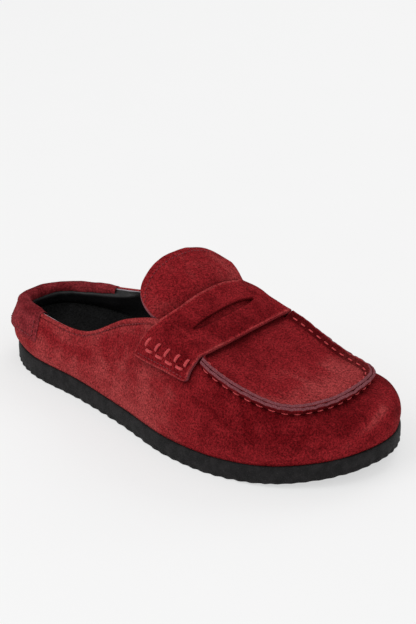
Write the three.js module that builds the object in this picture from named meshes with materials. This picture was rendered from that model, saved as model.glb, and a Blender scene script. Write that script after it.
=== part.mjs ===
// Backless penny loafer, right foot: suede upper on a moulded footbed and a flat foam sole.
// Millimetres, +Z up, toe towards -Y, +X towards the inner (medial) side of the foot.
// Shapes are worked out in shoe coordinates: x across, u from the heel to the toe, z above the ground.
import * as THREE from 'three';
import { mergeVertices } from 'three/addons/utils/BufferGeometryUtils.js';

// ---------------------------------------------------------------- driving dimensions
const CENTRE_X = -3.1;        // x of the middle of the shoe's box
const CENTRE_U = 142.5;       // u of the middle of the shoe's box

const SOLE_THICK = 12.5;      // foam sole at the ball of the foot
const HEEL_RAISE = 1.3;       // extra sole height under the heel
const TOE_SPRING = 9;         // how far the sole curves up at the toe
const SPRING_START = 200;     // u where the bottom begins to curve up
const SPRING_LENGTH = 90;
const TOP_SPRING_START = 205; // and where the top of the sole does
const TOP_SPRING_LENGTH = 85;
const HEEL_ROUND = 25;        // length of the rounding under the heel's end
const HEEL_LIFT = 1.5;        // and its height
const SHANK = [60, 130];      // u range where the sole thins from the heel to the ball
const FAN_REAR = 45;          // rows round the heel and the toe fan out from these u
const FAN_FRONT = 240;
const TREAD_DEPTH = 1.0;      // notches along the bottom edge
const TREAD_HEIGHT = 2.6;
const TREAD_BEVEL = 0.7;
const TREAD_LAND = 7;         // plain band inside the notches
const TREAD_COUNT = 84;
const FEATHER_INSET = 1.5;    // the upper meets the sole this far inside its edge

const SUEDE = 2.0;            // upper leather
const STIFFENER = 1.0;        // heel counter and toe puff
const PAD = 3.2;              // foam inside the heel rim
const LINING = 0.8;
const GAP = 0.3;              // clearance between neighbouring layers
const MARGIN_WIDTH = 14;      // lasting margin folded under the board
const MARGIN = 1.6;           // its thickness, skived
const BOARD = 1.5;
const BOARD_INSET = 6.2;      // the board ends this far inside the feather line
const COVER = 1.2;            // suede cover of the footbed

const LIP = 5.0;              // height of the raised seam round the apron
const LIP_LEAN = THREE.MathUtils.degToRad(35);
const SEAM_START = 191.5;     // the raised seam begins just in front of the strap
const SEAM_FULL = 194.5;

const STRAP_THICK = 2.4;
const STRAP_LIFT = 0.8;       // clearance under the strap
const THREAD = 0.45;          // radius of the thin threads
const CORD = 0.7;             // radius of the thick hand-sewn thread
const THREAD_LIFT = 0.55;     // clearance under a thread

// One row for each station round the shoe, from the heel along the outer side to the toe and back.
// sole: edge of the sole (x, u). top: top edge of the side wall (x, u, z).
// low and high: how far the wall bulges out and up at its foot, and out and down at its top edge.
const STATIONS = [
  { sole: [0, 0], top: [0, 5, 42.5], low: [10, 9], high: [3, 10] },
  { sole: [-20, 7], top: [-18, 10, 44], low: [10, 9], high: [3, 10] },
  { sole: [-35, 34], top: [-30, 34, 46], low: [6, 9], high: [2, 10] },
  { sole: [-41, 80], top: [-35, 80, 47], low: [3, 10], high: [3, 10] },
  { sole: [-50, 125], top: [-36, 120, 69], low: [2, 16], high: [6, 14] },
  { sole: [-62, 172], top: [-43, 160, 80], low: [2, 22], high: [10, 10] },
  { sole: [-62, 214], top: [-50, 205, 62], low: [5, 20], high: [8, 4] },
  { sole: [-49, 253], top: [-39, 243, 48], low: [6, 20], high: [8, 2] },
  { sole: [-19, 282], top: [-13, 257, 43.5], low: [6, 18], high: [10, 1] },
  { sole: [20, 289], top: [20, 260, 43.5], low: [6, 18], high: [12, 1] },
  { sole: [53, 268], top: [42, 252, 43], low: [6, 20], high: [8, 2] },
  { sole: [56, 232], top: [42, 230, 48.5], low: [5, 20], high: [8, 4] },
  { sole: [49, 195], top: [38.5, 197, 63.5], low: [3, 22], high: [8, 8] },
  { sole: [40, 145], top: [34.5, 154, 78.5], low: [2, 18], high: [6, 14] },
  { sole: [35, 90], top: [32, 98, 57], low: [3, 10], high: [3, 10] },
  { sole: [36, 34], top: [30, 40, 45], low: [4, 10], high: [2, 10] },
  { sole: [24, 8], top: [20, 13, 42.5], low: [8, 9], high: [2, 10] },
];
const TOE_P = 8.5;                      // station parameter at the tip of the toe

// Lines along the middle of the shoe, as [u, value].
const CENTRELINE_X = [[5, 0], [40, 0], [100, -1.5], [160, -5], [205, -5], [243, 1], [260, 3]];
const INSTEP_Z = [[116, 103.5], [124, 102.5], [140, 97.5], [157, 89], [175, 78.5], [191, 67.5], [215, 58],
  [240, 50.5], [262, 44]];

// ---------------------------------------------------------------- small maths
const { clamp, lerp, smoothstep } = THREE.MathUtils;
const V = (x, u, z) => new THREE.Vector3(x, u, z);
const step = (value, from, to) => smoothstep(value, from, to);
const range = (count) => Array.from({ length: count }, (_, i) => i);
const spread = (from, to, count) => range(count).map((i) => lerp(from, to, i / (count - 1)));

/** Smooth curve through [u, value] pairs. */
function along(pairs, u) {
  const x = clamp(u, pairs[0][0], pairs.at(-1)[0]);
  const i = clamp(pairs.findIndex((q) => q[0] >= x) - 1, 0, pairs.length - 2);
  const slope = (k) => {
    const a = pairs[Math.max(k - 1, 0)];
    const b = pairs[Math.min(k + 1, pairs.length - 1)];
    return (b[1] - a[1]) / (b[0] - a[0]);
  };
  const [[x0, y0], [x1, y1]] = [pairs[i], pairs[i + 1]];
  const h = x1 - x0;
  const t = (x - x0) / h;
  return (2 * t ** 3 - 3 * t ** 2 + 1) * y0 + (t ** 3 - 2 * t ** 2 + t) * h * slope(i)
    + (3 * t ** 2 - 2 * t ** 3) * y1 + (t ** 3 - t ** 2) * h * slope(i + 1);
}

/** The place between a and b where f crosses the target. */
function solve(f, target, a, b) {
  const rising = f(b) > f(a);
  for (let k = 0; k < 40; k += 1) {
    const mid = (a + b) / 2;
    if ((f(mid) < target) === rising) a = mid;
    else b = mid;
  }
  return (a + b) / 2;
}

// ---------------------------------------------------------------- the last: sole line and side wall
const ring = (pick) => new THREE.CatmullRomCurve3(STATIONS.map(pick), true, 'catmullrom', 0.5);
const soleRing = ring((s) => V(...s.sole, 0));
const topRing = ring((s) => V(...s.top));
const lowRing = ring((s) => V(...s.low, 0));
const highRing = ring((s) => V(...s.high, 0));
const onRing = (curve, p) => curve.getPoint(((p / STATIONS.length) % 1 + 1) % 1);

const groundZ = (u) => TOE_SPRING * Math.max((u - SPRING_START) / SPRING_LENGTH, 0) ** 2
  + HEEL_LIFT * Math.max((HEEL_ROUND - u) / HEEL_ROUND, 0) ** 2;
const soleTopZ = (u) => SOLE_THICK + HEEL_RAISE * (1 - step(u, ...SHANK))
  + (TOE_SPRING - 1) * Math.max((u - TOP_SPRING_START) / TOP_SPRING_LENGTH, 0) ** 2;

/** Direction in plan that points away from the shoe, square to the sole's edge. */
function outward(p) {
  const d = onRing(soleRing, p + 1e-3).sub(onRing(soleRing, p - 1e-3));
  return V(-d.y, d.x, 0).normalize();
}
const seam = (p) => step(onRing(topRing, p).y, SEAM_START, SEAM_FULL);
/** Point this far inside the sole's edge, at a lift above the top of the sole. */
function inset(p, distance, lift = 0) {
  const e = onRing(soleRing, p).addScaledVector(outward(p), -distance);
  return e.setZ(soleTopZ(e.y) + lift);
}

/** Directions of the raised seam at p: up its height, and across it away from the apron. */
function seamAxes(p) {
  const n = outward(p);
  const lean = LIP_LEAN * seam(p);
  return {
    up: n.clone().multiplyScalar(Math.sin(lean)).setZ(Math.cos(lean)),
    across: n.clone().multiplyScalar(Math.cos(lean)).setZ(-Math.sin(lean)),
  };
}

/** Outer surface of the side wall, from the sole (s = 0) to its top edge (s = 1). */
function wall(p, s) {
  const n = outward(p);
  const foot = inset(p, FEATHER_INSET, GAP);
  const top = onRing(topRing, p).addScaledVector(seamAxes(p).across, (SUEDE + GAP / 2) * seam(p));
  const low = onRing(lowRing, p);
  const high = onRing(highRing, p);
  const a = foot.clone().addScaledVector(n, low.x).setZ(foot.z + low.y);
  const b = top.clone().addScaledVector(n, high.x).setZ(top.z - high.y);
  return new THREE.CubicBezierCurve3(foot, a, b, top).getPoint(s);
}

/** Direction square to the wall, away from the shoe. */
function wallNormal(p, s) {
  const e = 1e-3;
  const round = wall(p + e, s).sub(wall(p - e, s));
  const rise = wall(p, Math.min(s + e, 1)).sub(wall(p, Math.max(s - e, 0)));
  return rise.cross(round).normalize();
}
const wallAt = (p, s, offset) => wall(p, s).addScaledVector(wallNormal(p, s), offset);

// ---------------------------------------------------------------- the grid round the shoe
const lateralP = (u) => solve((p) => onRing(topRing, p).y, u, 0, TOE_P);
const medialP = (u) => solve((p) => onRing(topRing, p).y, u, TOE_P, STATIONS.length);

const SLICES = [16, 28, 39, 53, 68, 82, 97, 112, 127, 142, 158.5, 174, 190.5, 195.5, 206, 218, 228, 237];
const TOE_STEPS = 12;
const HEEL_STEPS = 6;
const APRON_FIRST = SLICES.indexOf(158.5);

/** Round samples as {p, slice}: every slice on both sides, with arcs round the toe and the heel. */
function roundSamples() {
  const last = SLICES.length - 1;
  const outer = SLICES.map((u, slice) => ({ p: lateralP(u), slice }));
  const inner = SLICES.map((u, slice) => ({ p: medialP(u), slice })).reverse();
  const arc = (from, to, count, slice) => spread(from, to, count + 1).slice(1, -1)
    .map((p) => ({ p, slice }));
  return [
    ...outer, ...arc(outer[last].p, inner[0].p, TOE_STEPS, last),
    ...inner, ...arc(inner[last].p, outer[0].p + STATIONS.length, HEEL_STEPS, 0),
  ];
}
const ROUND = roundSamples();
const FRONT = ROUND.slice(APRON_FIRST, 2 * SLICES.length + TOE_STEPS - 1 - APRON_FIRST);
const centre = (u, z) => V(along(CENTRELINE_X, u), u, z);

// ---------------------------------------------------------------- solids
/** Closed body from triangles given as points in shoe coordinates, with its faces pointing out. */
function closedBody(triangles) {
  const flat = triangles.flatMap((p) => [p.x - CENTRE_X, CENTRE_U - p.y, p.z]);
  const soup = new THREE.BufferGeometry();
  soup.setAttribute('position', new THREE.Float32BufferAttribute(flat, 3));
  const geometry = mergeVertices(soup, 2e-3);
  const at = (i) => new THREE.Vector3().fromBufferAttribute(geometry.attributes.position, i);
  const index = [...geometry.index.array];
  const faces = [];
  let volume = 0;
  for (let i = 0; i < index.length; i += 3) {
    const [a, b, c] = index.slice(i, i + 3);
    if (a === b || b === c || c === a) continue;
    faces.push([a, b, c]);
    volume += at(a).dot(at(b).cross(at(c)));
  }
  const order = volume > 0 ? faces : faces.map(([a, b, c]) => [a, c, b]);
  geometry.setIndex(order.flat());
  return geometry;
}

/**
 * Body between two grids of points of the same size, outer[i][j] and inner[i][j]. Every cell edge
 * with no neighbour gets a side face. closed joins the last row i to the first, skip(i, j) leaves a
 * cell out, and joined names the column, 0 or the last, where rows meet on a common line.
 */
function slab(outer, inner, { closed = false, skip = () => false, joined = -1 } = {}) {
  const rows = outer.length;
  const cells = closed ? rows : rows - 1;
  const columns = outer[0].length - 1;
  const triangles = [];
  const quad = (a, b, c, d) => triangles.push(a, b, c, a, c, d);
  const present = (i, j) => {
    if (j < 0 || j >= columns) return false;
    if (!closed && (i < 0 || i >= cells)) return false;
    return !skip((i + cells) % cells, j);
  };
  for (const i of range(cells)) {
    const n = (i + 1) % rows;
    for (const j of range(columns)) {
      if (!present(i, j)) continue;
      quad(outer[i][j], outer[n][j], outer[n][j + 1], outer[i][j + 1]);
      quad(inner[i][j], inner[i][j + 1], inner[n][j + 1], inner[n][j]);
      if (!present(i, j - 1) && joined !== j) quad(outer[i][j], inner[i][j], inner[n][j], outer[n][j]);
      if (!present(i, j + 1) && joined !== j + 1) {
        quad(outer[n][j + 1], inner[n][j + 1], inner[i][j + 1], outer[i][j + 1]);
      }
      if (!present(i - 1, j)) quad(outer[i][j + 1], inner[i][j + 1], inner[i][j], outer[i][j]);
      if (!present(i + 1, j)) quad(outer[n][j], inner[n][j], inner[n][j + 1], outer[n][j + 1]);
    }
  }
  return closedBody(triangles);
}

/** Layer of the wall between two depths inside its outer surface, for samples and heights s. */
function wallLayer(samples, heights, near, far) {
  const grid = (depth) => samples.map(({ p }) => heights.map((s) => wallAt(p, s, -depth(p, s))));
  return slab(grid(near), grid(far));
}

/** Round thread along points in shoe coordinates. */
function thread(points, radius, steps, sides = 6) {
  const path = new THREE.CatmullRomCurve3(
    points.map((p) => V(p.x - CENTRE_X, CENTRE_U - p.y, p.z)), false, 'centripetal');
  const section = new THREE.Shape(range(sides).map((i) => new THREE.Vector2(
    radius * Math.cos((2 * Math.PI * i) / sides), radius * Math.sin((2 * Math.PI * i) / sides))));
  const geometry = new THREE.ExtrudeGeometry(section, { steps, extrudePath: path, bevelEnabled: false });
  geometry.deleteAttribute('normal');
  geometry.deleteAttribute('uv');
  return mergeVertices(geometry, 1e-3);
}

// ---------------------------------------------------------------- materials
const material = (color, roughness) => new THREE.MeshStandardMaterial({ color, roughness, metalness: 0 });
const RED_SUEDE = 0x7c2026;
const DARK_RED_SUEDE = 0x6a1a20;
const RED_THREAD = 0xb8363c;
const BLACK_FOAM = 0x1b1a1b;
const BLACK_LEATHER = 0x141314;
const BLACK_SUEDE = 0x232224;
const CORK = 0xb08a5c;
const BOARD_FIBRE = 0x9a8a70;
const STIFF_WHITE = 0xd8d2c4;
const PALE_FOAM = 0xd9d3b8;

const shoe = new THREE.Group();
function add(name, geometry, color, roughness = 0.9) {
  const mesh = new THREE.Mesh(geometry, material(color, roughness));
  mesh.name = name;
  shoe.add(mesh);
}

// ---------------------------------------------------------------- sole and footbed
/** Plate over the whole shoe: samples hold the rows from the middle to the edge, below and above. */
const plate = (below, above) => slab(below, above, { closed: true, joined: 0 });

const SOLE_ROWS = [24, 16, 8, 0.4];   // distances of the top's rows inside the edge

function outsole() {
  const samples = range(2 * TREAD_COUNT).map((i) => (i * STATIONS.length) / (2 * TREAD_COUNT));
  const middle = (p) => {
    const u = (onRing(soleRing, p).y + onRing(soleRing, STATIONS.length - p).y) / 2;
    return clamp(u, FAN_REAR, FAN_FRONT);
  };
  const below = samples.map((p, i) => {
    const u = middle(p);
    const rim = (distance, height) => {
      const e = inset(p, distance);
      return e.setZ(groundZ(e.y) + height);
    };
    const notch = (i % 2) * TREAD_DEPTH;
    return [centre(u, groundZ(u)), rim(TREAD_LAND, 0), rim(TREAD_BEVEL + notch, 0),
      rim(notch, TREAD_HEIGHT), rim(0, TREAD_HEIGHT + TREAD_BEVEL)];
  });
  const above = samples.map((p) => {
    const u = middle(p);
    return [centre(u, soleTopZ(u)), ...SOLE_ROWS.map((distance) => inset(p, distance))];
  });
  return plate(below, above);
}

const PLATE_COLUMNS = [0, 0.55, 0.85, 1];   // from the middle to the edge
/** Points from the middle to the rim, at a height above the top of the sole. */
const acrossSole = (middle, rim, lift) => PLATE_COLUMNS.map((g) => {
  const q = middle.clone().lerp(rim, g);
  return q.setZ(soleTopZ(q.y) + lift);
});

/** Flat sheet that follows the top of the sole, inset from the feather line. */
function sheet(distance, bottom, thickness) {
  const level = (lift) => ROUND.map(({ p, slice }) => acrossSole(
    centre(SLICES[slice], 0), inset(p, FEATHER_INSET + distance), lift));
  return plate(level(bottom), level(bottom + thickness));
}

const MARGIN_TOP = GAP + MARGIN;
const BOARD_BOTTOM = MARGIN_TOP + GAP;
const BED_BOTTOM = BOARD_BOTTOM + BOARD + GAP;

add('outsole', outsole(), BLACK_FOAM, 0.8);
add('bottom_filler', sheet(MARGIN_WIDTH + GAP + 0.2, GAP, MARGIN), CORK);
add('lasting_board', sheet(BOARD_INSET, BOARD_BOTTOM, BOARD), BOARD_FIBRE);

// ---------------------------------------------------------------- layers of the side wall
const HEEL_ZONE = [54, 82];   // u range where the counter and pad end
const TOE_ZONE = [206, 218];  // and where the toe puff begins
const PAD_RISE = [0.4, 0.75]; // share of the wall's height where the pad thickens
const CLOSE_FROM = 0.9;       // above this the lining draws in to meet the wall at its top edge
const heelZone = (p) => 1 - step(onRing(topRing, p).y, ...HEEL_ZONE);
const toeZone = (p) => step(onRing(topRing, p).y, ...TOE_ZONE);
const closing = (s) => 1 - step(s, CLOSE_FROM, 1);
const stiffDepth = (p) => (STIFFENER + GAP) * Math.max(heelZone(p), toeZone(p));
const padDepth = (p, s) => (PAD + GAP) * heelZone(p) * step(s, ...PAD_RISE);
const liningDepth = (p, s) => SUEDE + GAP + (stiffDepth(p) + padDepth(p, s)) * closing(s);
const bareDepth = (p, s) => liningDepth(p, s) + LINING;
const HEIGHTS = [0.13, 0.28, 0.44, 0.6, 0.76, 0.9];   // rows up the wall, shared by all its layers

const BED_EDGE = [[5, 14.5], [90, 14], [150, 12], [200, 8.5], [262, 8]];   // footbed edge above the sole
const BED_DISH = [[5, 5], [60, 6.5], [110, 4], [190, 1.5], [262, 1]];      // how far its middle lies lower
const BED_CLEAR = 0.7;

/** Point of the footbed's edge at the lift above the sole's top. */
function bedEdge(p, lift) {
  const at = (s) => wallAt(p, s, -bareDepth(p, s) - BED_CLEAR);
  const s = solve((k) => at(k).z - soleTopZ(at(k).y), lift, 0.02, 0.9);
  return at(s);
}
/** Rows of the footbed from the middle to the edge, at a depth below its top surface. */
const bedTop = (depth) => ROUND.map(({ p, slice }) => {
  const u = SLICES[slice];
  const rim = bedEdge(p, along(BED_EDGE, onRing(topRing, p).y) - depth);
  const low = soleTopZ(u) + along(BED_EDGE, u) - along(BED_DISH, u) - depth;
  const middle = centre(u, low);
  return PLATE_COLUMNS.map((g) => middle.clone().lerp(rim, g).setZ(lerp(low, rim.z, g ** 2.5)));
});
const bedBottom = () => ROUND.map(({ p, slice }) => acrossSole(
  centre(SLICES[slice], 0), bedEdge(p, BED_BOTTOM), BED_BOTTOM));
add('footbed_core', plate(bedBottom(), bedTop(COVER + GAP)), CORK);
add('footbed_cover', plate(bedTop(COVER), bedTop(0)), BLACK_SUEDE);

/** One-piece suede wall: lasting margin, side, and the lip that stands up round the apron. */
function upperWall() {
  const outer = ROUND.map(({ p }) => {
    const top = wall(p, 1);
    return [inset(p, FEATHER_INSET + MARGIN_WIDTH, GAP), wall(p, 0), ...HEIGHTS.map((s) => wall(p, s)),
      top, top.clone().addScaledVector(seamAxes(p).up, LIP * seam(p))];
  });
  const inner = ROUND.map(({ p }) => {
    const { up, across } = seamAxes(p);
    const top = wall(p, 1).addScaledVector(across, -SUEDE);
    return [inset(p, FEATHER_INSET + MARGIN_WIDTH, MARGIN_TOP),
      inset(p, FEATHER_INSET + SUEDE + GAP, MARGIN_TOP), ...HEIGHTS.map((s) => wallAt(p, s, -SUEDE)),
      top.clone().addScaledVector(up, -SUEDE * seam(p)), top.clone().addScaledVector(up, LIP * seam(p))];
  });
  return slab(outer, inner, { closed: true });
}
add('upper_wall', upperWall(), RED_SUEDE);

const topU = ({ p }) => onRing(topRing, p).y;
/** The samples round the heel up to each side's limit of u, from the inner side to the outer side. */
function heelSamples(outerLimit, innerLimit) {
  const start = ROUND.findIndex((q, i) => i > APRON_FIRST && topU(q) <= innerLimit);
  const end = ROUND.findIndex((q) => topU(q) > outerLimit);
  return [...ROUND.slice(start), ...ROUND.slice(0, end)];
}
const PATCH_OUTER = 39;       // u of the front edges of the heel patch, counter and pad
const PATCH_INNER = 53;
const backSamples = heelSamples(PATCH_OUTER + 1, PATCH_INNER + 1);
const toeSamples = FRONT.filter((q) => topU(q) > TOE_ZONE[1] - 1);
const shallow = () => SUEDE + GAP;
const stiffBack = () => SUEDE + GAP + STIFFENER;

add('heel_counter', wallLayer(backSamples, HEIGHTS, shallow, stiffBack), STIFF_WHITE);
add('toe_puff', wallLayer(toeSamples, HEIGHTS.slice(0, 5), shallow, stiffBack), STIFF_WHITE);
const PAD_MIN = 0.5;
const padFront = () => SUEDE + 2 * GAP + STIFFENER;
const padBack = (p, s) => padFront() + Math.max(PAD * step(s, ...PAD_RISE), PAD_MIN);
add('heel_collar_pad', wallLayer(backSamples, HEIGHTS.slice(3), padFront, padBack), PALE_FOAM);

const liningFrom = (samples, heights) => wallLayer(samples, heights, liningDepth, bareDepth);
const QUARTER_END = SLICES[9] + 1;
add('quarter_lining', liningFrom(heelSamples(QUARTER_END, QUARTER_END), [...HEIGHTS, 1]), BLACK_LEATHER, 0.55);
add('vamp_lining', liningFrom(FRONT, HEIGHTS), BLACK_LEATHER, 0.55);

// ---------------------------------------------------------------- apron
/** Top surface of the apron: g runs from its seam (0) to the middle line (1). */
function apronPoint(p, slice, g, base) {
  const u = SLICES[slice];
  const q = base.clone().lerp(centre(u, 0), g);
  const drop = along(INSTEP_Z, base.y) - base.z;
  return q.setZ(along(INSTEP_Z, q.y) - drop * (1 - g) ** 2);
}
const APRON_ROWS = [0.14, 0.32, 0.55, 0.78, 1];
const apronShift = (p) => lerp(SUEDE + 5 * GAP, GAP / 2, seam(p));

/** Rows of the apron at its top face (side = 1) or its under face (side = 0). */
function apronRows(side) {
  return FRONT.map(({ p, slice }) => {
    const { up, across } = seamAxes(p);
    const edge = onRing(topRing, p);
    const face = edge.clone().addScaledVector(across, -apronShift(p) - side * SUEDE);
    const base = edge.clone().addScaledVector(across, -apronShift(p) - SUEDE);
    return [face.clone().addScaledVector(up, LIP * seam(p)),
      face.clone().addScaledVector(up, -(1 - side) * SUEDE),
      ...APRON_ROWS.map((g) => apronPoint(p, slice, g, base).add(V(0, 0, (side - 1) * SUEDE)))];
  });
}
add('apron', slab(apronRows(1), apronRows(0), { joined: APRON_ROWS.length + 1 }), RED_SUEDE);

function apronLining() {
  const level = (depth) => FRONT.map(({ p, slice }) => {
    const base = onRing(topRing, p).addScaledVector(seamAxes(p).across, -apronShift(p) - SUEDE);
    return APRON_ROWS.map((g) => apronPoint(p, slice, g, base).add(V(0, 0, -depth)));
  });
  return slab(level(SUEDE + GAP), level(SUEDE + GAP + LINING), { joined: APRON_ROWS.length - 1 });
}
add('apron_lining', apronLining(), BLACK_LEATHER, 0.55);

// ---------------------------------------------------------------- instep surface for strap and tongue
const WALL_SHARE = 0.5;       // |w| above this lies on the side wall, below it on the apron
const STRAP_END_S = 0.585;    // the strap's ends reach this far down the wall

/** Surface over the instep: w runs from the outer side wall (-1) over the top to the inner one (1). */
function instep(u, w) {
  const outer = w < 0;
  const side = outer ? [0, TOE_P] : [TOE_P, STATIONS.length];
  const k = Math.abs(w);
  if (k > WALL_SHARE) {
    const s = lerp(1, STRAP_END_S, (k - WALL_SHARE) / (1 - WALL_SHARE));
    return wall(solve((p) => wall(p, s).y, u, ...side), s);
  }
  const edge = onRing(topRing, outer ? lateralP(u) : medialP(u));
  const g = 1 - k / WALL_SHARE;
  const rise = along(INSTEP_Z, u);
  return V(lerp(edge.x, along(CENTRELINE_X, u), g), u, rise - (rise - edge.z) * (1 - g) ** 2);
}
function instepAt(u, w, lift) {
  const e = 0.02;
  const a = instep(u, Math.min(w + e, 1)).sub(instep(u, Math.max(w - e, -1)));
  const b = instep(u + 1, w).sub(instep(u - 1, w));
  const n = a.cross(b).normalize();
  return instep(u, w).addScaledVector(n.z < 0 ? n.negate() : n, lift);
}

// ---------------------------------------------------------------- strap
const SLOT_FROM = -0.39;
const SLOT_TO = 0.33;
const SLOT_WIDTH = 5;
const STRAP_W = [-1, -0.85, -0.7, -0.6, -0.5, SLOT_FROM, -0.28, -0.16, -0.03, 0.1, 0.22, SLOT_TO, 0.42, 0.5,
  0.6, 0.7, 0.85, 1];
const STRAP_REAR = 158;       // u of its rear edge over the instep
const REAR_SWEEP = 21;        // how far back its rear edge runs towards the ends
const SWEEP_RANGE = [0.3, 1.1]; // range of |w| of that sweep
const STRAP_FRONT = 190.5;     // u of its front edge over the instep
const FRONT_SWEEP = 2.5;
const strapRear = (w) => STRAP_REAR - REAR_SWEEP * step(Math.abs(w), ...SWEEP_RANGE);
const strapFront = (w) => STRAP_FRONT - FRONT_SWEEP * step(Math.abs(w), WALL_SHARE, 1);
const slotOpen = (w) => (w <= SLOT_FROM || w >= SLOT_TO ? 0
  : Math.sin((Math.PI * (w - SLOT_FROM)) / (SLOT_TO - SLOT_FROM)));

function strap() {
  const lines = (w) => {
    const [rear, front] = [strapRear(w), strapFront(w)];
    const middle = lerp(rear, front, 0.5);
    const half = (SLOT_WIDTH / 2) * slotOpen(w);
    return [rear, lerp(rear, middle, 0.6), middle - half, middle + half, lerp(front, middle, 0.6), front];
  };
  const level = (lift) => STRAP_W.map((w) => lines(w).map((u) => instepAt(u, w, lift)));
  const inSlot = (i, j) => j === 2 && STRAP_W[i] >= SLOT_FROM && STRAP_W[i + 1] <= SLOT_TO;
  return slab(level(STRAP_LIFT + STRAP_THICK), level(STRAP_LIFT), { skip: inSlot });
}
add('strap', strap(), RED_SUEDE);

// ---------------------------------------------------------------- tongue
const TONGUE_W = [-1, -0.96, -0.85, -0.65, -0.35, 0, 0.35, 0.65, 0.85, 0.96, 1];
const TONGUE_T = [0, 0.33, 0.66, 0.92, 1];
const TONGUE_X = 1.5;         // its middle line
const TONGUE_HALF = 38.5;
const TONGUE_REAR = 126;      // u of its free edge
const TONGUE_SKEW = 3.5;      // the free edge lies further back on the outer side
const TONGUE_ROOT = 157;      // u of its root, just behind the strap
const TONGUE_CROWN = [20, 11]; // how much lower its outer and inner sides lie than its middle
const ROOT_CURVE = [5, 5];    // how much further back its root lies at the two sides
const TONGUE_SIDE = 144;      // u where its sides meet the strap
const TONGUE_WAIST = 0.2;     // share of its width lost towards the root

/** Tongue surface: w across, t from the strap's rear edge (0) to the free edge (1). */
function tonguePoint(w, t, lift) {
  const side = w < 0 ? 0 : 1;
  const root = TONGUE_ROOT - ROOT_CURVE[side] * w ** 2;
  const round = Math.sqrt(Math.max(1 - w ** 6, 0));
  const edge = TONGUE_SIDE - (TONGUE_SIDE - TONGUE_REAR - TONGUE_SKEW * w) * round;
  const u = lerp(root, edge, t);
  const half = TONGUE_HALF * (1 - TONGUE_WAIST * step(u, TONGUE_SIDE - 2, TONGUE_ROOT + 1));
  return V(TONGUE_X + half * w, u, along(INSTEP_Z, u) - TONGUE_CROWN[side] * w ** 2 + lift);
}
const tongueLayer = (columns, rows, low, high) => slab(
  columns.map((w) => rows.map((t) => tonguePoint(w, t, high))),
  columns.map((w) => rows.map((t) => tonguePoint(w, t, low))));
add('tongue', tongueLayer(TONGUE_W, TONGUE_T, 0, SUEDE), RED_SUEDE);
add('tongue_lining', tongueLayer(TONGUE_W.slice(2, -2), TONGUE_T.slice(0, -1), -GAP - LINING, -GAP),
  BLACK_LEATHER, 0.55);

// ---------------------------------------------------------------- heel patch
const PATCH = 1.4;            // thickness of the patch
const PATCH_LOW = HEIGHTS[2];
const RIM = 4;                // width of the rim's flat top

/** Suede patch round the back of the heel, folded over the padded rim. */
function heelPatch() {
  const path = (lift) => backSamples.map(({ p }) => {
    const n = outward(p);
    const top = wall(p, 1);
    const corner = (distance) => top.clone().addScaledVector(n, distance).setZ(top.z + lift);
    const inside = (s) => wallAt(p, s, -bareDepth(p, s) - lift);
    return [...HEIGHTS.slice(2).map((s) => wallAt(p, s, lift)), corner(0), corner(-RIM),
      inside(HEIGHTS[5]), inside(HEIGHTS[4])];
  });
  return slab(path(GAP + PATCH), path(GAP));
}
add('heel_patch', heelPatch(), DARK_RED_SUEDE);

// ---------------------------------------------------------------- threads
const LADDER_HIGH = 0.74;     // w of the ladder's upper and lower ends
const LADDER_LOW = 0.87;
const LADDER_REAR = 154;      // u of its first and last bars
const LADDER_FRONT = 184.5;
const LADDER_SLANT = 25;      // how far back a bar runs down the strap, for a change of 1 in w
const BARS = 5;
const STRAP_STITCH_W = 0.95;  // w of the stitches along the strap's end
const END_INSET = 4;          // they start and stop this far inside its edges
const EDGE_S = 0.91;          // height on the wall of the stitches below the top edge
const onWall = (p, s) => wallAt(p, s, THREAD_LIFT + THREAD);
const onPatch = (p, s) => wallAt(p, s, GAP + PATCH + THREAD_LIFT + THREAD);
const onStrap = (u, w, radius) => instepAt(u, w, STRAP_LIFT + STRAP_THICK + THREAD_LIFT + radius);

/** Row of stitches just below the top edge, from the heel patch to the strap. */
const EDGE_RANGE = [57, 143]; // u where these rows begin and end
const toplineStitch = (toP) => thread(
  spread(...EDGE_RANGE, 12).map((u) => onWall(toP(u), EDGE_S)), THREAD, 28, 5);
add('topline_stitch_lateral', toplineStitch(lateralP), RED_THREAD);
add('topline_stitch_medial', toplineStitch(medialP), RED_THREAD);

/** Row of stitches down one front edge of the heel patch, round its foot and up the other. */
const SEAM_INSET = 3;         // the patch's stitches run this far inside its front edges
const PATCH_STITCH_S = [0.86, 0.54, 0.5];   // heights of the top and foot of the sides, and of the long run
function patchStitch() {
  const from = lateralP(PATCH_OUTER - SEAM_INSET);
  const to = medialP(PATCH_INNER - SEAM_INSET) - STATIONS.length;
  const [high, low, foot] = PATCH_STITCH_S;
  const rise = spread(high, low, 4);
  return thread([...rise.map((s) => onPatch(from, s)),
    ...spread(from, to, 17).slice(1, -1).map((p) => onPatch(p, foot)),
    ...rise.reverse().map((s) => onPatch(to, s))], THREAD, 56, 5);
}
add('heel_patch_stitch', patchStitch(), RED_THREAD);

/** Row of stitches along the end of the strap, and the ladder of thick stitches above it. */
function strapStitches(side, name) {
  const w = STRAP_STITCH_W * side;
  const row = spread(strapRear(w) + END_INSET, strapFront(w) - END_INSET, 8);
  add(`strap_edge_stitch_${name}`, thread(row.map((u) => onStrap(u, w, THREAD)), THREAD, 16, 5), RED_THREAD);
  const bars = spread(LADDER_REAR, LADDER_FRONT, BARS);
  const ladder = bars.flatMap((u, i) => {
    const [first, second] = i % 2 ? [LADDER_LOW, LADDER_HIGH] : [LADDER_HIGH, LADDER_LOW];
    return spread(first, second, 3).map((k) => onStrap(u - LADDER_SLANT * (k - LADDER_HIGH), k * side, CORD));
  });
  add(`strap_ladder_stitch_${name}`, thread(ladder, CORD, 64, 6), RED_THREAD);
}
strapStitches(-1, 'lateral');
strapStitches(1, 'medial');

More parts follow.
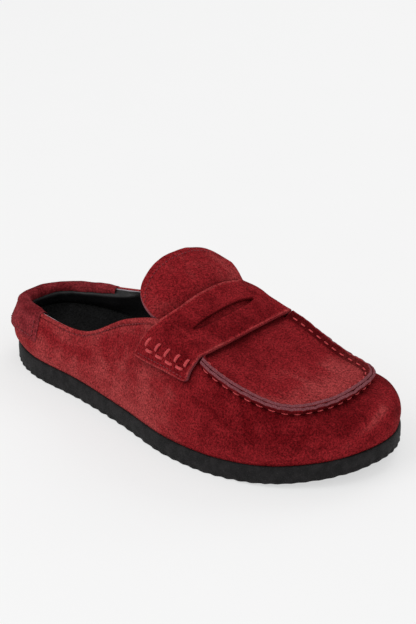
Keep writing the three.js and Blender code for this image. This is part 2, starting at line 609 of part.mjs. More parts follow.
const TONGUE_STITCH_W = 0.86; // the row reaches this far out on both sides
const TONGUE_STITCH_T = 0.88; // and runs at this share of the way to the free edge
const TONGUE_STITCH = spread(-TONGUE_STITCH_W, TONGUE_STITCH_W, 13).map(
  (w) => tonguePoint(w, TONGUE_STITCH_T, SUEDE + THREAD_LIFT + THREAD));
add('tongue_edge_stitch', thread(TONGUE_STITCH, THREAD, 32, 5), RED_THREAD);

/** Hand-sewn thread along the foot of the raised seam, on the apron's side. */
function seamThread() {
  const rows = FRONT.filter(({ p }) => seam(p) === 1);
  return thread(rows.map(({ p }) => {
    const { up, across } = seamAxes(p);
    return onRing(topRing, p).addScaledVector(up, LIP / 2)
      .addScaledVector(across, -apronShift(p) - SUEDE - THREAD_LIFT - THREAD);
  }), THREAD, 60, 5);
}
add('apron_seam_thread', seamThread(), RED_THREAD);

export default shoe;
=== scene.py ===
"""Backless penny loafer in red suede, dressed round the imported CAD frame.

Shapes are worked out in shoe coordinates, in millimetres: x across, u from the heel to the toe,
z above the ground. to_world() moves them into the frame, in metres.
"""
import math

import bpy
import numpy as np
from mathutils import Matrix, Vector


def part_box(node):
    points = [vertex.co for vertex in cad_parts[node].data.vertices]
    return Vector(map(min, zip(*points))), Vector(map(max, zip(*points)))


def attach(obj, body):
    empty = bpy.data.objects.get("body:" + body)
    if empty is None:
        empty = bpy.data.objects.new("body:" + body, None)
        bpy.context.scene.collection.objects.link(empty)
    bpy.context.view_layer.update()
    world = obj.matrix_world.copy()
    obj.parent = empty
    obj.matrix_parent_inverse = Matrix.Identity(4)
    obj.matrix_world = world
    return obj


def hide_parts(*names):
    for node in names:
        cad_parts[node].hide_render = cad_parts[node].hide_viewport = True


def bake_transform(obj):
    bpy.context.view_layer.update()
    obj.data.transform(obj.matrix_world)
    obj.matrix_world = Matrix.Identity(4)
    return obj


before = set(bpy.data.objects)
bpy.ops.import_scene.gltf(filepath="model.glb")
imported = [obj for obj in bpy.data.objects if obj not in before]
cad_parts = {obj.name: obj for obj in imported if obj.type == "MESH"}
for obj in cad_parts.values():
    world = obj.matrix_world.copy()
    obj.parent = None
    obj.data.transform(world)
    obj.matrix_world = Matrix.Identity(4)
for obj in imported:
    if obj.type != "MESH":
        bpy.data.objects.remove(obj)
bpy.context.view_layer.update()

MM = 0.001

# ------------------------------------------------------------ driving dimensions, as in the CAD
SOLE_THICK = 12.5
HEEL_RAISE = 1.3         # extra thickness of the sole under the heel
HEEL_RAMP = (60, 130)    # u between which that runs out
TOE_SPRING = 9           # how far the sole rises under the toe
SPRING_FOOT = (200, 90)  # u where the sole's foot starts to rise to the toe, and over what length
SPRING_TOP = (205, 85)   # the same for its top
HEEL_SPRING = (25, 1.5)  # u where its foot starts to rise to the heel, and how far
FEATHER_INSET = 1.5      # the wall's foot, in from the sole's edge
SUEDE = 2.0
LINING = 0.8
GAP = 0.3                # between layers
STIFF = 1.3              # stiffener with its gap
PAD = 3.5                # heel rim foam with its gap
MARGIN_WIDTH = 14        # part of the wall folded in under the foot
LIP = 5.0                # height of the raised seam
LIP_LEAN = math.radians(35)
SEAM_START = 191.5       # u between which the raised seam comes up
SEAM_FULL = 194.5
STRAP_THICK = 2.4
STRAP_LIFT = 0.8         # height of the strap's middle above the instep

# Rows of: sole edge x, u; wall top x, u, z; bulge out and up at the foot; bulge out and down at the top.
STATIONS = np.array([
    (0, 0, 0, 5, 42.5, 10, 9, 3, 10),
    (-20, 7, -18, 10, 44, 10, 9, 3, 10),
    (-35, 34, -30, 34, 46, 6, 9, 2, 10),
    (-41, 80, -35, 80, 47, 3, 10, 3, 10),
    (-50, 125, -36, 120, 69, 2, 16, 6, 14),
    (-62, 172, -43, 160, 80, 2, 22, 10, 10),
    (-62, 214, -50, 205, 62, 5, 20, 8, 4),
    (-49, 253, -39, 243, 48, 6, 20, 8, 2),
    (-19, 282, -13, 257, 43.5, 6, 18, 10, 1),
    (20, 289, 20, 260, 43.5, 6, 18, 12, 1),
    (53, 268, 42, 252, 43, 6, 20, 8, 2),
    (56, 232, 42, 230, 48.5, 5, 20, 8, 4),
    (49, 195, 38.5, 197, 63.5, 3, 22, 8, 8),
    (40, 145, 34.5, 154, 78.5, 2, 18, 6, 14),
    (35, 90, 32, 98, 57, 3, 10, 3, 10),
    (36, 34, 30, 40, 45, 4, 10, 2, 10),
    (24, 8, 20, 13, 42.5, 8, 9, 2, 10),
], float)
ROUND_LENGTH = len(STATIONS)
TOE_P = 8.5              # round parameter in the middle of the toe
CENTRELINE_X = [(5, 0), (40, 0), (100, -1.5), (160, -5), (205, -5), (243, 1), (260, 3)]
INSTEP_Z = [(116, 103.5), (124, 102.5), (140, 97.5), (157, 89), (175, 78.5), (191, 67.5), (215, 58),
            (240, 50.5), (262, 44)]


# ------------------------------------------------------------ small maths
def smooth(value, low, high):
    t = np.clip((np.asarray(value, float) - low) / (high - low), 0, 1)
    return t * t * (3 - 2 * t)


def lerp(a, b, t):
    return a + (b - a) * t


def points(x, u, z):
    return np.stack(np.broadcast_arrays(*(np.asarray(v, float) for v in (x, u, z))), -1)


def unit(v):
    return v / np.maximum(np.linalg.norm(v, axis=-1, keepdims=True), 1e-12)


def along(pairs, u):
    """Smooth curve through (u, value) pairs."""
    xs, ys = np.array(pairs, float).T
    slopes = np.empty(len(xs))
    slopes[1:-1] = (ys[2:] - ys[:-2]) / (xs[2:] - xs[:-2])
    slopes[0] = (ys[1] - ys[0]) / (xs[1] - xs[0])
    slopes[-1] = (ys[-1] - ys[-2]) / (xs[-1] - xs[-2])
    x = np.clip(u, xs[0], xs[-1])
    i = np.clip(np.searchsorted(xs, x, side="left") - 1, 0, len(xs) - 2)
    h = xs[i + 1] - xs[i]
    t = (x - xs[i]) / h
    return ((2 * t ** 3 - 3 * t ** 2 + 1) * ys[i] + (t ** 3 - 2 * t ** 2 + t) * h * slopes[i]
            + (3 * t ** 2 - 2 * t ** 3) * ys[i + 1] + (t ** 3 - t ** 2) * h * slopes[i + 1])


def solve(f, target, low, high):
    """Places between low and high where f crosses the target. All may be arrays."""
    target, low, high = (np.array(v, float) for v in np.broadcast_arrays(target, low, high))
    rising = f(high) > f(low)
    for _ in range(36):
        mid = (low + high) / 2
        below = (f(mid) < target) == rising
        low = np.where(below, mid, low)
        high = np.where(below, high, mid)
    return (low + high) / 2


# ------------------------------------------------------------ the last: sole line and side wall
def ring(p, first, last):
    """Closed Catmull-Rom curve through some columns of the stations, at the round parameter p."""
    p = np.asarray(p, float) % ROUND_LENGTH
    i = np.floor(p).astype(int) % ROUND_LENGTH
    t = (p - np.floor(p))[..., None]
    a, b, c, d = (STATIONS[(i + k) % ROUND_LENGTH, first:last] for k in (-1, 0, 1, 2))
    start, end = (c - a) / 2, (d - b) / 2
    cubic, square = 2 * b - 2 * c + start + end, -3 * b + 3 * c - 2 * start - end
    return cubic * t ** 3 + square * t ** 2 + start * t + b


def sole_top_z(u):
    start, length = SPRING_TOP
    return (SOLE_THICK + HEEL_RAISE * (1 - smooth(u, *HEEL_RAMP))
            + (TOE_SPRING - 1) * np.maximum((u - start) / length, 0) ** 2)


def ground_z(u):
    (start, length), (heel, lift) = SPRING_FOOT, HEEL_SPRING
    return (TOE_SPRING * np.maximum((u - start) / length, 0) ** 2
            + lift * np.maximum((heel - u) / heel, 0) ** 2)


def outward(p):
    """Direction in plan away from the shoe, square to the sole's edge."""
    d = ring(p + 1e-3, 0, 2) - ring(p - 1e-3, 0, 2)
    return unit(points(-d[..., 1], d[..., 0], 0))


def inset(p, distance, lift=0.0):
    """Point inside the sole's edge, at a lift above the top of the sole."""
    edge = ring(p, 0, 2) - outward(p)[..., :2] * np.asarray(distance, float)[..., None]
    return points(edge[..., 0], edge[..., 1], sole_top_z(edge[..., 1]) + lift)


def top_line(p):
    return ring(p, 2, 5)


def seam(p):
    """1 where the raised seam stands, 0 behind the strap's front edge."""
    return smooth(top_line(p)[..., 1], SEAM_START, SEAM_FULL)


def seam_axes(p):
    """Directions of the raised seam: up its height, and across it away from the apron."""
    n = outward(p)
    lean = LIP_LEAN * seam(p)
    sin, cos = np.sin(lean)[..., None], np.cos(lean)[..., None]
    up = n * sin + points(0, 0, cos[..., 0])
    across = n * cos - points(0, 0, sin[..., 0])
    return up, across


def wall(p, s):
    """Outer surface of the side wall, from the sole (s = 0) to its top edge (s = 1)."""
    p, s = np.broadcast_arrays(np.asarray(p, float), np.asarray(s, float))
    n = outward(p)
    foot = inset(p, FEATHER_INSET, GAP)
    top = top_line(p) + seam_axes(p)[1] * ((SUEDE + GAP / 2) * seam(p))[..., None]
    bulge = ring(p, 5, 9)
    low = foot + n * bulge[..., 0:1] + points(0, 0, bulge[..., 1])
    high = top + n * bulge[..., 2:3] - points(0, 0, bulge[..., 3])
    s = s[..., None]
    return (1 - s) ** 3 * foot + 3 * (1 - s) ** 2 * s * low + 3 * (1 - s) * s ** 2 * high + s ** 3 * top


def wall_normal(p, s):
    e = 1e-3
    across = wall(p + e, s) - wall(p - e, s)
    rise = wall(p, np.minimum(s + e, 1)) - wall(p, np.maximum(s - e, 0))
    return unit(np.cross(rise, across))


def wall_at(p, s, offset):
    """Point a distance outside the wall's outer surface."""
    p, s, offset = np.broadcast_arrays(p, s, offset)
    return wall(p, s) + wall_normal(p, s) * offset[..., None]


def lateral_p(u):
    """Round parameter of the outer side's top edge at u."""
    return solve(lambda p: top_line(p)[..., 1], u, 0.0, TOE_P)


def medial_p(u):
    return solve(lambda p: top_line(p)[..., 1], u, TOE_P, float(ROUND_LENGTH))


def centre(u, z=0.0):
    return points(along(CENTRELINE_X, u), u, z)


# ------------------------------------------------------------ samples round the shoe
APRON_REAR = 158.5       # u of the apron's rear edge, under the strap
FOCUS_U = 237.0          # rows of the apron and the footbed meet here inside the toe
HEEL_U = 16.0            # and here inside the heel


def round_samples(rear_step, front_step, toe_steps, heel_steps):
    """p and middle-line u of every row round the shoe, and which rows belong to the apron."""
    rear = np.arange(HEEL_U, APRON_REAR - 1, rear_step)
    front = np.linspace(APRON_REAR, FOCUS_U, int((FOCUS_U - APRON_REAR) / front_step))
    u = np.concatenate([rear, front])
    outer, inner = lateral_p(u), medial_p(u)
    toe = np.linspace(outer[-1], inner[-1], toe_steps + 1)[1:-1]
    heel = np.linspace(inner[0], outer[0] + ROUND_LENGTH, heel_steps + 1)[1:-1]
    p = np.concatenate([outer, toe, inner[::-1], heel])
    middle = np.concatenate([u, np.full(len(toe), FOCUS_U), u[::-1], np.full(len(heel), HEEL_U)])
    apron = np.zeros(len(p), bool)
    apron[len(rear):len(p) - len(heel) - len(rear)] = True
    return p, middle, apron


P, MIDDLE_U, IN_APRON = round_samples(rear_step=2.4, front_step=1.1, toe_steps=120, heel_steps=44)
FRONT_P, FRONT_U = P[IN_APRON], MIDDLE_U[IN_APRON]


def arc_length(pts):
    """Distance along a run of points."""
    return np.concatenate([[0], np.cumsum(np.linalg.norm(np.diff(pts, axis=0), axis=-1))])


# ------------------------------------------------------------ into the frame
SOLE_LOW, SOLE_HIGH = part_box("outsole")
SOLE_EDGE = ring(np.linspace(0, ROUND_LENGTH, 2000), 0, 2)
SHIFT_X = (SOLE_LOW[0] + SOLE_HIGH[0]) / 2 / MM - (SOLE_EDGE[:, 0].min() + SOLE_EDGE[:, 0].max()) / 2
SHIFT_U = (SOLE_LOW[1] + SOLE_HIGH[1]) / 2 / MM + (SOLE_EDGE[:, 1].min() + SOLE_EDGE[:, 1].max()) / 2


def to_world(pts):
    pts = np.asarray(pts, float)
    return points(pts[..., 0] + SHIFT_X, SHIFT_U - pts[..., 1], pts[..., 2]) * MM


# ------------------------------------------------------------ meshes
def grid_faces(rows, columns, closed=False, keep=None):
    """Quads of a grid of points. keep is a mask of the cells that exist."""
    i = np.arange(rows if closed else rows - 1)[:, None]
    j = np.arange(columns - 1)[None, :]
    n = (i + 1) % rows
    quads = np.stack([i * columns + j, n * columns + j, n * columns + j + 1, i * columns + j + 1], -1)
    return quads[keep] if keep is not None else quads.reshape(-1, 4)


def weld(faces, *layers):
    """Joins points that coincide in every layer and drops the faces that vanish."""
    key = np.round(np.concatenate(layers, -1), 3)
    _, first, back = np.unique(key, axis=0, return_index=True, return_inverse=True)
    back = back.reshape(-1)
    out = []
    for face in back[faces]:
        loop = [v for k, v in enumerate(face) if v != face[k - 1]]
        if len(set(loop)) == len(loop) > 2:
            out.append(tuple(loop))
    return out, first, back


def build(name, verts, faces, material, masks=None):
    """Smooth-shaded object from points in shoe coordinates, with its masks as point attributes."""
    mesh = bpy.data.meshes.new(name)
    mesh.from_pydata(to_world(verts).tolist(), [], [list(map(int, f)) for f in faces])
    mesh.validate()
    for key, values in (masks or {}).items():
        layer = mesh.attributes.new(key, "FLOAT", "POINT")
        layer.data.foreach_set("value", np.asarray(values, np.float32))
    mesh.polygons.foreach_set("use_smooth", np.ones(len(mesh.polygons), bool))
    if signed_volume(mesh) < 0:
        mesh.flip_normals()
    mesh.materials.append(material)
    obj = bpy.data.objects.new(name, mesh)
    bpy.context.scene.collection.objects.link(obj)
    return obj


def signed_volume(mesh):
    mesh.calc_loop_triangles()
    co = np.empty(len(mesh.vertices) * 3)
    mesh.vertices.foreach_get("co", co)
    co = co.reshape(-1, 3)
    tri = np.empty(len(mesh.loop_triangles) * 3, int)
    mesh.loop_triangles.foreach_get("vertices", tri)
    a, b, c = (co[tri.reshape(-1, 3)[:, k]] for k in range(3))
    return (a * np.cross(b, c)).sum()


def shell(name, outer, inner, faces, material, bulge=0.25, square=0.6, segments=5, masks=None):
    """Closed sheet between two layers of points, with a soft edge where the sheet ends.

    bulge is how far the edge stands out, and a square near 0 makes it flat, near 1 round.
    masks give values for the outer points; the edge gets the mask "rim" = 1.
    """
    outer, inner = outer.reshape(-1, 3), inner.reshape(-1, 3)
    faces, first, back = weld(faces, outer, inner)
    outer, inner = outer[first], inner[first]
    count = len(outer)
    normal = np.zeros((count, 3))
    for face in faces:
        q = outer[list(face)]
        normal[list(face)] += np.cross(q[2] - q[0], q[-1] - q[1] if len(q) > 3 else q[2] - q[1])
    normal = unit(normal)
    edges = {(f[k - 1], f[k]) for f in faces for k in range(len(f))}
    open_edges = [(a, b) for a, b in edges if (b, a) not in edges]
    away = np.zeros((count, 3))
    for a, b in open_edges:
        d = unit(np.cross(outer[b] - outer[a], normal[a] + normal[b]))
        away[a] += d
        away[b] += d
    border = sorted({v for e in open_edges for v in e})
    place = {v: k for k, v in enumerate(border)}
    extra = []
    for v in border:
        d = unit(away[v])
        for k in range(1, segments):
            t = math.pi * k / segments
            mix = (1 - math.cos(t)) / 2
            extra.append(lerp(outer[v], inner[v], mix) + d * bulge * math.sin(t) ** square)

    def column(v, k):
        if k == 0:
            return v
        if k == segments:
            return v + count
        return 2 * count + place[v] * (segments - 1) + k - 1

    quads = list(faces) + [tuple(v + count for v in reversed(f)) for f in faces]
    for a, b in open_edges:
        for k in range(segments):
            quads.append((column(b, k), column(a, k), column(a, k + 1), column(b, k + 1)))
    extra = np.array(extra).reshape(-1, 3)
    all_masks = {"rim": np.concatenate([np.isin(np.arange(count), border) * 0.5] * 2 + [np.ones(len(extra))])}
    for key, values in (masks or {}).items():
        v = np.asarray(values, float).reshape(-1)[first]
        at_edge = np.repeat(v[border], segments - 1) if border else np.zeros(0)
        all_masks[key] = np.concatenate([v, v, at_edge])
    return build(name, np.concatenate([outer, inner, extra]), quads, material, all_masks)


def wear(obj, body, node):
    """The piece rides a body and stands for a CAD node, which it hides."""
    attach(obj, body)
    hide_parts(node)


NOISE_WAVES = 14
NOISE_SPREAD = 3.2       # brings the sum of the waves to about -1..1


def noise(pts, scale, seed):
    """Smooth noise in about -1..1 at points in shoe coordinates, the same in every run."""
    rng = np.random.default_rng(seed)
    total = np.zeros(pts.shape[:-1])
    for _ in range(NOISE_WAVES):
        direction = unit(rng.normal(size=3))
        length = scale * rng.uniform(0.7, 1.6)
        total += np.sin(pts @ (direction * 2 * math.pi / length) + rng.uniform(0, 6.28))
    return total / NOISE_SPREAD


# ------------------------------------------------------------ materials
class Shader:
    """One procedural material. Textures run in millimetres of the frame."""

    def __init__(self, name, roughness=0.9, **constants):
        self.mat = bpy.data.materials.new(name)
        self.mat.use_nodes = True
        self.nodes = self.mat.node_tree.nodes
        self.links = self.mat.node_tree.links
        self.nodes.clear()
        output = self.nodes.new("ShaderNodeOutputMaterial")
        self.bsdf = self.nodes.new("ShaderNodeBsdfPrincipled")
        self.links.new(self.bsdf.outputs[0], output.inputs["Surface"])
        self.bsdf.inputs["Roughness"].default_value = roughness
        for key, value in constants.items():
            self.bsdf.inputs[key.replace("_", " ")].default_value = value
        place = self.nodes.new("ShaderNodeTexCoord")
        scale = self.nodes.new("ShaderNodeVectorMath")
        scale.operation = "SCALE"
        scale.inputs["Scale"].default_value = 1 / MM
        self.links.new(place.outputs["Object"], scale.inputs[0])
        self.place = scale.outputs[0]

    def put(self, socket, value):
        if isinstance(value, bpy.types.NodeSocket):
            self.links.new(value, socket)
        elif isinstance(value, (tuple, list)) and len(value) == 3 and socket.type == "RGBA":
            socket.default_value = (*value, 1)
        else:
            socket.default_value = value

    def node(self, kind, inputs, output=0, **settings):
        """One of the outputs of a new node, whose inputs are given by name or number."""
        node = self.nodes.new("ShaderNode" + kind)
        for key, value in settings.items():
            setattr(node, key, value)
        for key, value in inputs.items():
            self.put(node.inputs[key], value)
        return node.outputs[output]

    def noise(self, size, detail=4, rough=0.55, distort=0.0, stretch=None):
        """Noise whose patches are about size millimetres across."""
        place = self.place
        if stretch:
            place = self.node("VectorMath", {0: place, 1: stretch}, operation="MULTIPLY")
        return self.node("TexNoise", {"Vector": place, "Scale": 1 / size, "Detail": detail,
                                      "Roughness": rough, "Distortion": distort}, "Fac")

    def cells(self, size):
        """Distance to the nearest of scattered points, size millimetres apart."""
        return self.node("TexVoronoi", {"Vector": self.place, "Scale": 1 / size}, "Distance")

    def mask(self, name):
        """Values kept with the mesh's points."""
        return self.node("Attribute", {}, "Fac", attribute_name=name)

    def span(self, value, low, high, to_low=0.0, to_high=1.0):
        """Smooth step from to_low at low to to_high at high."""
        inputs = dict(enumerate((value, low, high, to_low, to_high)))
        return self.node("MapRange", inputs, interpolation_type="SMOOTHSTEP")

    def math(self, operation, a, b=0.0):
        return self.node("Math", {0: a, 1: b}, operation=operation)

    def mix(self, fac, a, b, how="MIX"):
        return self.node("Mix", {0: fac, 6: a, 7: b}, 2, data_type="RGBA", blend_type=how)

    def bump(self, height, depth, normal=None):
        """depth is the relief in millimetres for a height of 1."""
        inputs = {"Strength": 1.0, "Distance": depth * MM, "Height": height}
        if normal is not None:
            inputs["Normal"] = normal
        return self.node("Bump", inputs)

    def done(self, colour=None, roughness=None, normal=None):
        for key, value in (("Base Color", colour), ("Roughness", roughness), ("Normal", normal)):
            if value is not None:
                self.put(self.bsdf.inputs[key], value)
        return self.mat


NOISE_BAND = (0.3, 0.7)  # values between which noise textures mostly lie
BROAD = 24               # patch sizes of the suede, in millimetres: brushed clouds,
STREAK = 7               # brush strokes,
GRAIN = 1.2              # tufts
SPECK = 0.55             # and single fibres
BROAD_TONE = 0.15
STREAK_TONE = 0.1
GRAIN_CONTRAST = 0.6
SPECK_CONTRAST = 0.25
PAINTED_SHADE_STRENGTH = 0.7


def grey(value):
    return (value,) * 3


def darker(colour, share):
    return tuple(c * share for c in colour)


def cut_edge(s, colour, raw, fibre, dark_share):
    """Shows the raw inside of the leather on the rim of the sheet, where the mask "raw" says so."""
    edge = s.mix(fibre, darker(raw, dark_share), raw)
    return s.mix(s.math("MULTIPLY", s.mask("raw"), s.span(s.mask("rim"), 0.3, 0.9)), colour, edge)


def suede(name, dark, base, light, raw, nap=0.16):
    """Brushed leather: broad brushed tones, fine mottling and a short nap, with fibrous raw edges."""
    s = Shader(name, Sheen_Weight=0.04, Sheen_Roughness=0.5, Sheen_Tint=(*light, 1), Specular_IOR_Level=0.03)
    broad = s.noise(BROAD, detail=4, rough=0.6, distort=0.8)
    streak = s.noise(STREAK, detail=4, rough=0.6, stretch=(1, 0.45, 1))
    grain = s.noise(GRAIN, detail=3, rough=0.75)
    speck = s.noise(SPECK, detail=2)
    # The brushed tone mask holds both pale brushing and painted highlights.
    tone = s.math("ADD", s.mask("brushed_and_highlight"), s.span(broad, *NOISE_BAND, -BROAD_TONE, BROAD_TONE))
    tone = s.math("ADD", tone, s.span(streak, *NOISE_BAND, -STREAK_TONE, STREAK_TONE))
    colour = s.mix(s.span(tone, 0, 0.5), dark, base)
    colour = s.mix(s.span(tone, 0.45, 1.05), colour, light)
    for noise_value, contrast in ((grain, GRAIN_CONTRAST), (speck, SPECK_CONTRAST)):
        grit = s.mix(s.span(noise_value, *NOISE_BAND), grey(1 - contrast), grey(1 + contrast))
        colour = s.mix(1.0, colour, grit, "MULTIPLY")
    # Painted shade: the shade mask darkens the colour towards a dimmed nap colour in creases, recesses and
    # under the strap.
    colour = s.mix(s.math("MULTIPLY", s.mask("painted_shade"), PAINTED_SHADE_STRENGTH), colour, darker(dark, 0.3))
    colour = cut_edge(s, colour, raw, s.span(s.noise(0.8, detail=3, rough=0.7), 0.32, 0.68), 0.4)
    height = s.math("ADD", grain, s.math("MULTIPLY", speck, 0.5))
    return s.done(colour, s.span(grain, *NOISE_BAND, 0.98, 0.88), s.bump(height, nap))


def thread_material(name, dark, light):
    """Twisted waxed thread."""
    s = Shader(name, 0.7, Sheen_Weight=0.05, Specular_IOR_Level=0.1)
    twist = s.noise(0.5, detail=2, rough=0.6)
    colour = s.mix(s.span(twist, *NOISE_BAND), dark, light)
    return s.done(colour, s.span(twist, *NOISE_BAND, 0.7, 0.5), s.bump(twist, 0.08))


def leather(name, dark, light, raw):
    """Smooth lining leather with fine pores and faint creases, pale where its edge is cut."""
    s = Shader(name, 0.45, Specular_IOR_Level=0.36)
    pores = s.cells(0.8)
    cloud = s.noise(9, detail=4)
    colour = s.mix(s.span(cloud, 0.35, 0.7), dark, light)
    colour = cut_edge(s, colour, raw, s.noise(0.8, detail=2), 0.6)
    crease = s.noise(5, detail=3, distort=1.5, stretch=(1, 1, 2.2))
    normal = s.bump(crease, 0.25, s.bump(pores, 0.05))
    return s.done(colour, s.span(cloud, *NOISE_BAND, 0.52, 0.38), normal)


def foam(name, dark, light, speck):
    """Moulded foam: matt, with a pebbled skin and small pale specks."""
    s = Shader(name, 0.75, Specular_IOR_Level=0.2)
    pebble = s.cells(0.7)
    cloud = s.noise(6, detail=4)
    spots = s.span(s.noise(0.55, detail=1), 0.66, 0.78)
    colour = s.mix(s.span(cloud, 0.35, 0.7), dark, light)
    colour = s.mix(s.math("MULTIPLY", spots, 0.5), colour, speck)
    return s.done(colour, s.span(pebble, 0, 0.8, 0.62, 0.85), s.bump(pebble, 0.09, s.bump(cloud, 0.3)))


def plain_fibre(name, dark, light, size, depth, stretch=None):
    """Board, cork, plastic or foam that lies inside the shoe."""
    s = Shader(name, 0.85)
    grain = s.noise(size, detail=5, rough=0.6, distort=0.5, stretch=stretch)
    colour = s.mix(s.span(grain, *NOISE_BAND), dark, light)
    return s.done(colour, s.span(grain, *NOISE_BAND, 0.9, 0.75), s.bump(grain, depth))


# Colours of the suedes: in the shade of the nap (dimmed, also the colour of painted shade), plain, pale for
# brushing and painted highlights, and cut edge.
RED = suede("red_suede", (0.108, 0.0034, 0.0054), (0.208, 0.0112, 0.0148), (0.31, 0.040, 0.041),
            (0.28, 0.085, 0.10))
DARK_RED = suede("dark_red_suede", (0.100, 0.0065, 0.0092), (0.213, 0.024, 0.029), (0.30, 0.052, 0.056),
                 (0.24, 0.07, 0.085))
THREAD_RED = thread_material("red_thread", (0.33, 0.026, 0.032), (0.72, 0.095, 0.10))
FINE_THREAD = thread_material("fine_red_thread", (0.12, 0.012, 0.016), (0.27, 0.042, 0.05))
BLACK_LEATHER = leather("black_leather", (0.005, 0.005, 0.0054), (0.010, 0.010, 0.0108), (0.42, 0.38, 0.42))
BLACK_SUEDE = suede("black_suede", (0.010, 0.010, 0.0102), (0.017, 0.017, 0.0175), (0.028, 0.028, 0.0285),
                    (0.03, 0.03, 0.03), nap=0.12)
BLACK_FOAM = foam("black_foam", (0.0055, 0.0051, 0.0053), (0.0145, 0.0132, 0.0138), (0.09, 0.086, 0.09))


def dress_inside():
    """Finishes of the hidden pieces, which keep their CAD shape."""
    cork = plain_fibre("cork", (0.20, 0.11, 0.045), (0.48, 0.31, 0.16), 1.6, 0.3)
    board = plain_fibre("fibre_board", (0.24, 0.19, 0.12), (0.40, 0.33, 0.23), 2.5, 0.1, (1, 0.3, 1))
    plastic = plain_fibre("counter_plastic", (0.60, 0.56, 0.48), (0.72, 0.68, 0.60), 5, 0.05)
    pad = plain_fibre("pad_foam", (0.52, 0.48, 0.32), (0.68, 0.64, 0.47), 0.8, 0.3)
    finishes = {"bottom_filler": cork, "footbed_core": cork, "lasting_board": board, "heel_counter": plastic,
                "toe_puff": plastic, "heel_collar_pad": pad}
    for node, material in finishes.items():
        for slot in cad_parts[node].material_slots:
            slot.material = material


dress_inside()


# ------------------------------------------------------------ surface over the instep
# w runs across the shoe along the strap, from -1 at its outer end to 1 at its inner end.
WALL_SHARE = 0.5         # size of w where the strap comes over the wall's top edge
STRAP_END_S = 0.572      # height share of the wall where the strap's ends hang lowest
END_MIDDLE_U = 162.0     # and the u of that place
END_HALF = 22.0          # half length of an end, over which its edge rises by
END_RISE = 0.036


def end_s(u):
    """Height share of the wall where the strap ends."""
    return STRAP_END_S + END_RISE * np.clip((u - END_MIDDLE_U) / END_HALF, -1.3, 1.3) ** 2


def instep(u, w):
    """Surface that the strap lies on: the arched instep, then the side walls."""
    u, w = np.broadcast_arrays(np.asarray(u, float), np.asarray(w, float))
    low = np.where(w < 0, 0.0, TOE_P)
    high = np.where(w < 0, TOE_P, float(ROUND_LENGTH))
    k = np.abs(w)
    s = lerp(1, end_s(u), np.clip((k - WALL_SHARE) / (1 - WALL_SHARE), 0, 1))
    on_wall = wall(solve(lambda p: wall(p, s)[..., 1], u, low, high), s)
    edge = top_line(solve(lambda p: top_line(p)[..., 1], u, low, high))
    g = 1 - k / WALL_SHARE
    rise = along(INSTEP_Z, u)
    x = lerp(edge[..., 0], along(CENTRELINE_X, u), g)
    on_top = points(x, u, rise - (rise - edge[..., 2]) * (1 - g) ** 2)
    return np.where((k > WALL_SHARE)[..., None], on_wall, on_top)


W_STEP = 0.02            # of w, between the points that give the surface's direction


def instep_at(u, w, lift):
    """Point at a lift above the instep, and the direction away from it."""
    a = instep(u, np.minimum(w + W_STEP, 1)) - instep(u, np.maximum(w - W_STEP, -1))
    b = instep(u + 1, w) - instep(u - 1, w)
    n = unit(np.cross(a, b))
    n = np.where(n[..., 2:] < 0, -n, n)
    return instep(u, w) + n * np.asarray(lift, float)[..., None], n


SLOT_FROM = -0.39        # w of the slot's ends
SLOT_TO = 0.33
SLOT_WIDTH = 4.6
STRAP_REAR = 158.0       # u of the strap's rear edge, and how far its ends reach back beyond it
REAR_SWEEP = 21.0
STRAP_FRONT = 190.8      # the same for its front edge, which is drawn back at its ends
FRONT_SWEEP = 2.5
CORNER = 3.2             # radius of the strap's corners
CORNER_W = 0.055         # and their length in w
SETTLE_W = (0.8, 0.97)   # w between which the strap comes down onto the wall


def corner_inset(k):
    """How far the strap's edges draw in at its rounded corners."""
    t = np.clip((k - 1 + CORNER_W) / CORNER_W, 0, 1)
    return CORNER * (1 - np.sqrt(1 - t ** 2))


def strap_rear(w):
    k = np.abs(w)
    return STRAP_REAR - REAR_SWEEP * smooth(k, 0.3, 1.1) + corner_inset(k)


def strap_front(w):
    k = np.abs(w)
    return STRAP_FRONT - FRONT_SWEEP * smooth(k, 0.5, 1) - corner_inset(k)


def strap_lift(w):
    return lerp(STRAP_LIFT, GAP, smooth(np.abs(w), *SETTLE_W))


WALL_HEIGHT = 72.0       # length of the wall's outline beside the strap


def beside_strap(u, s):
    """Distance in millimetres outside the strap's outline, for points of the side wall."""
    end = end_s(u)
    k = WALL_SHARE + (1 - WALL_SHARE) * np.clip((1 - s) / (1 - end), 0, 1)
    return np.maximum(np.maximum(strap_rear(k) - u, u - strap_front(k)), (end - s) * WALL_HEIGHT)


# ------------------------------------------------------------ sole
TREAD_COUNT = 84         # notches round the bottom edge
TREAD_DEPTH = 1.0
TREAD_HEIGHT = 2.6
TREAD_BEVEL = 0.7
TREAD_LAND = 7           # width of the row of notches
SAMPLES_PER_NOTCH = 8
MIDDLE_RANGE = (45, 240)                             # u of the middle line, where the rows meet
SIDE_SHARES = (0.0, 0.15, 0.35, 0.6, 0.85, 1.0)      # rows up the side
SIDE_BULGE = 0.3
TOP_ROWS = ((0.45, -0.45), (0.75, -0.15), (1.2, 0), (2.5, 0), (8, 0), (16, 0), (24, 0))    # inset and lift


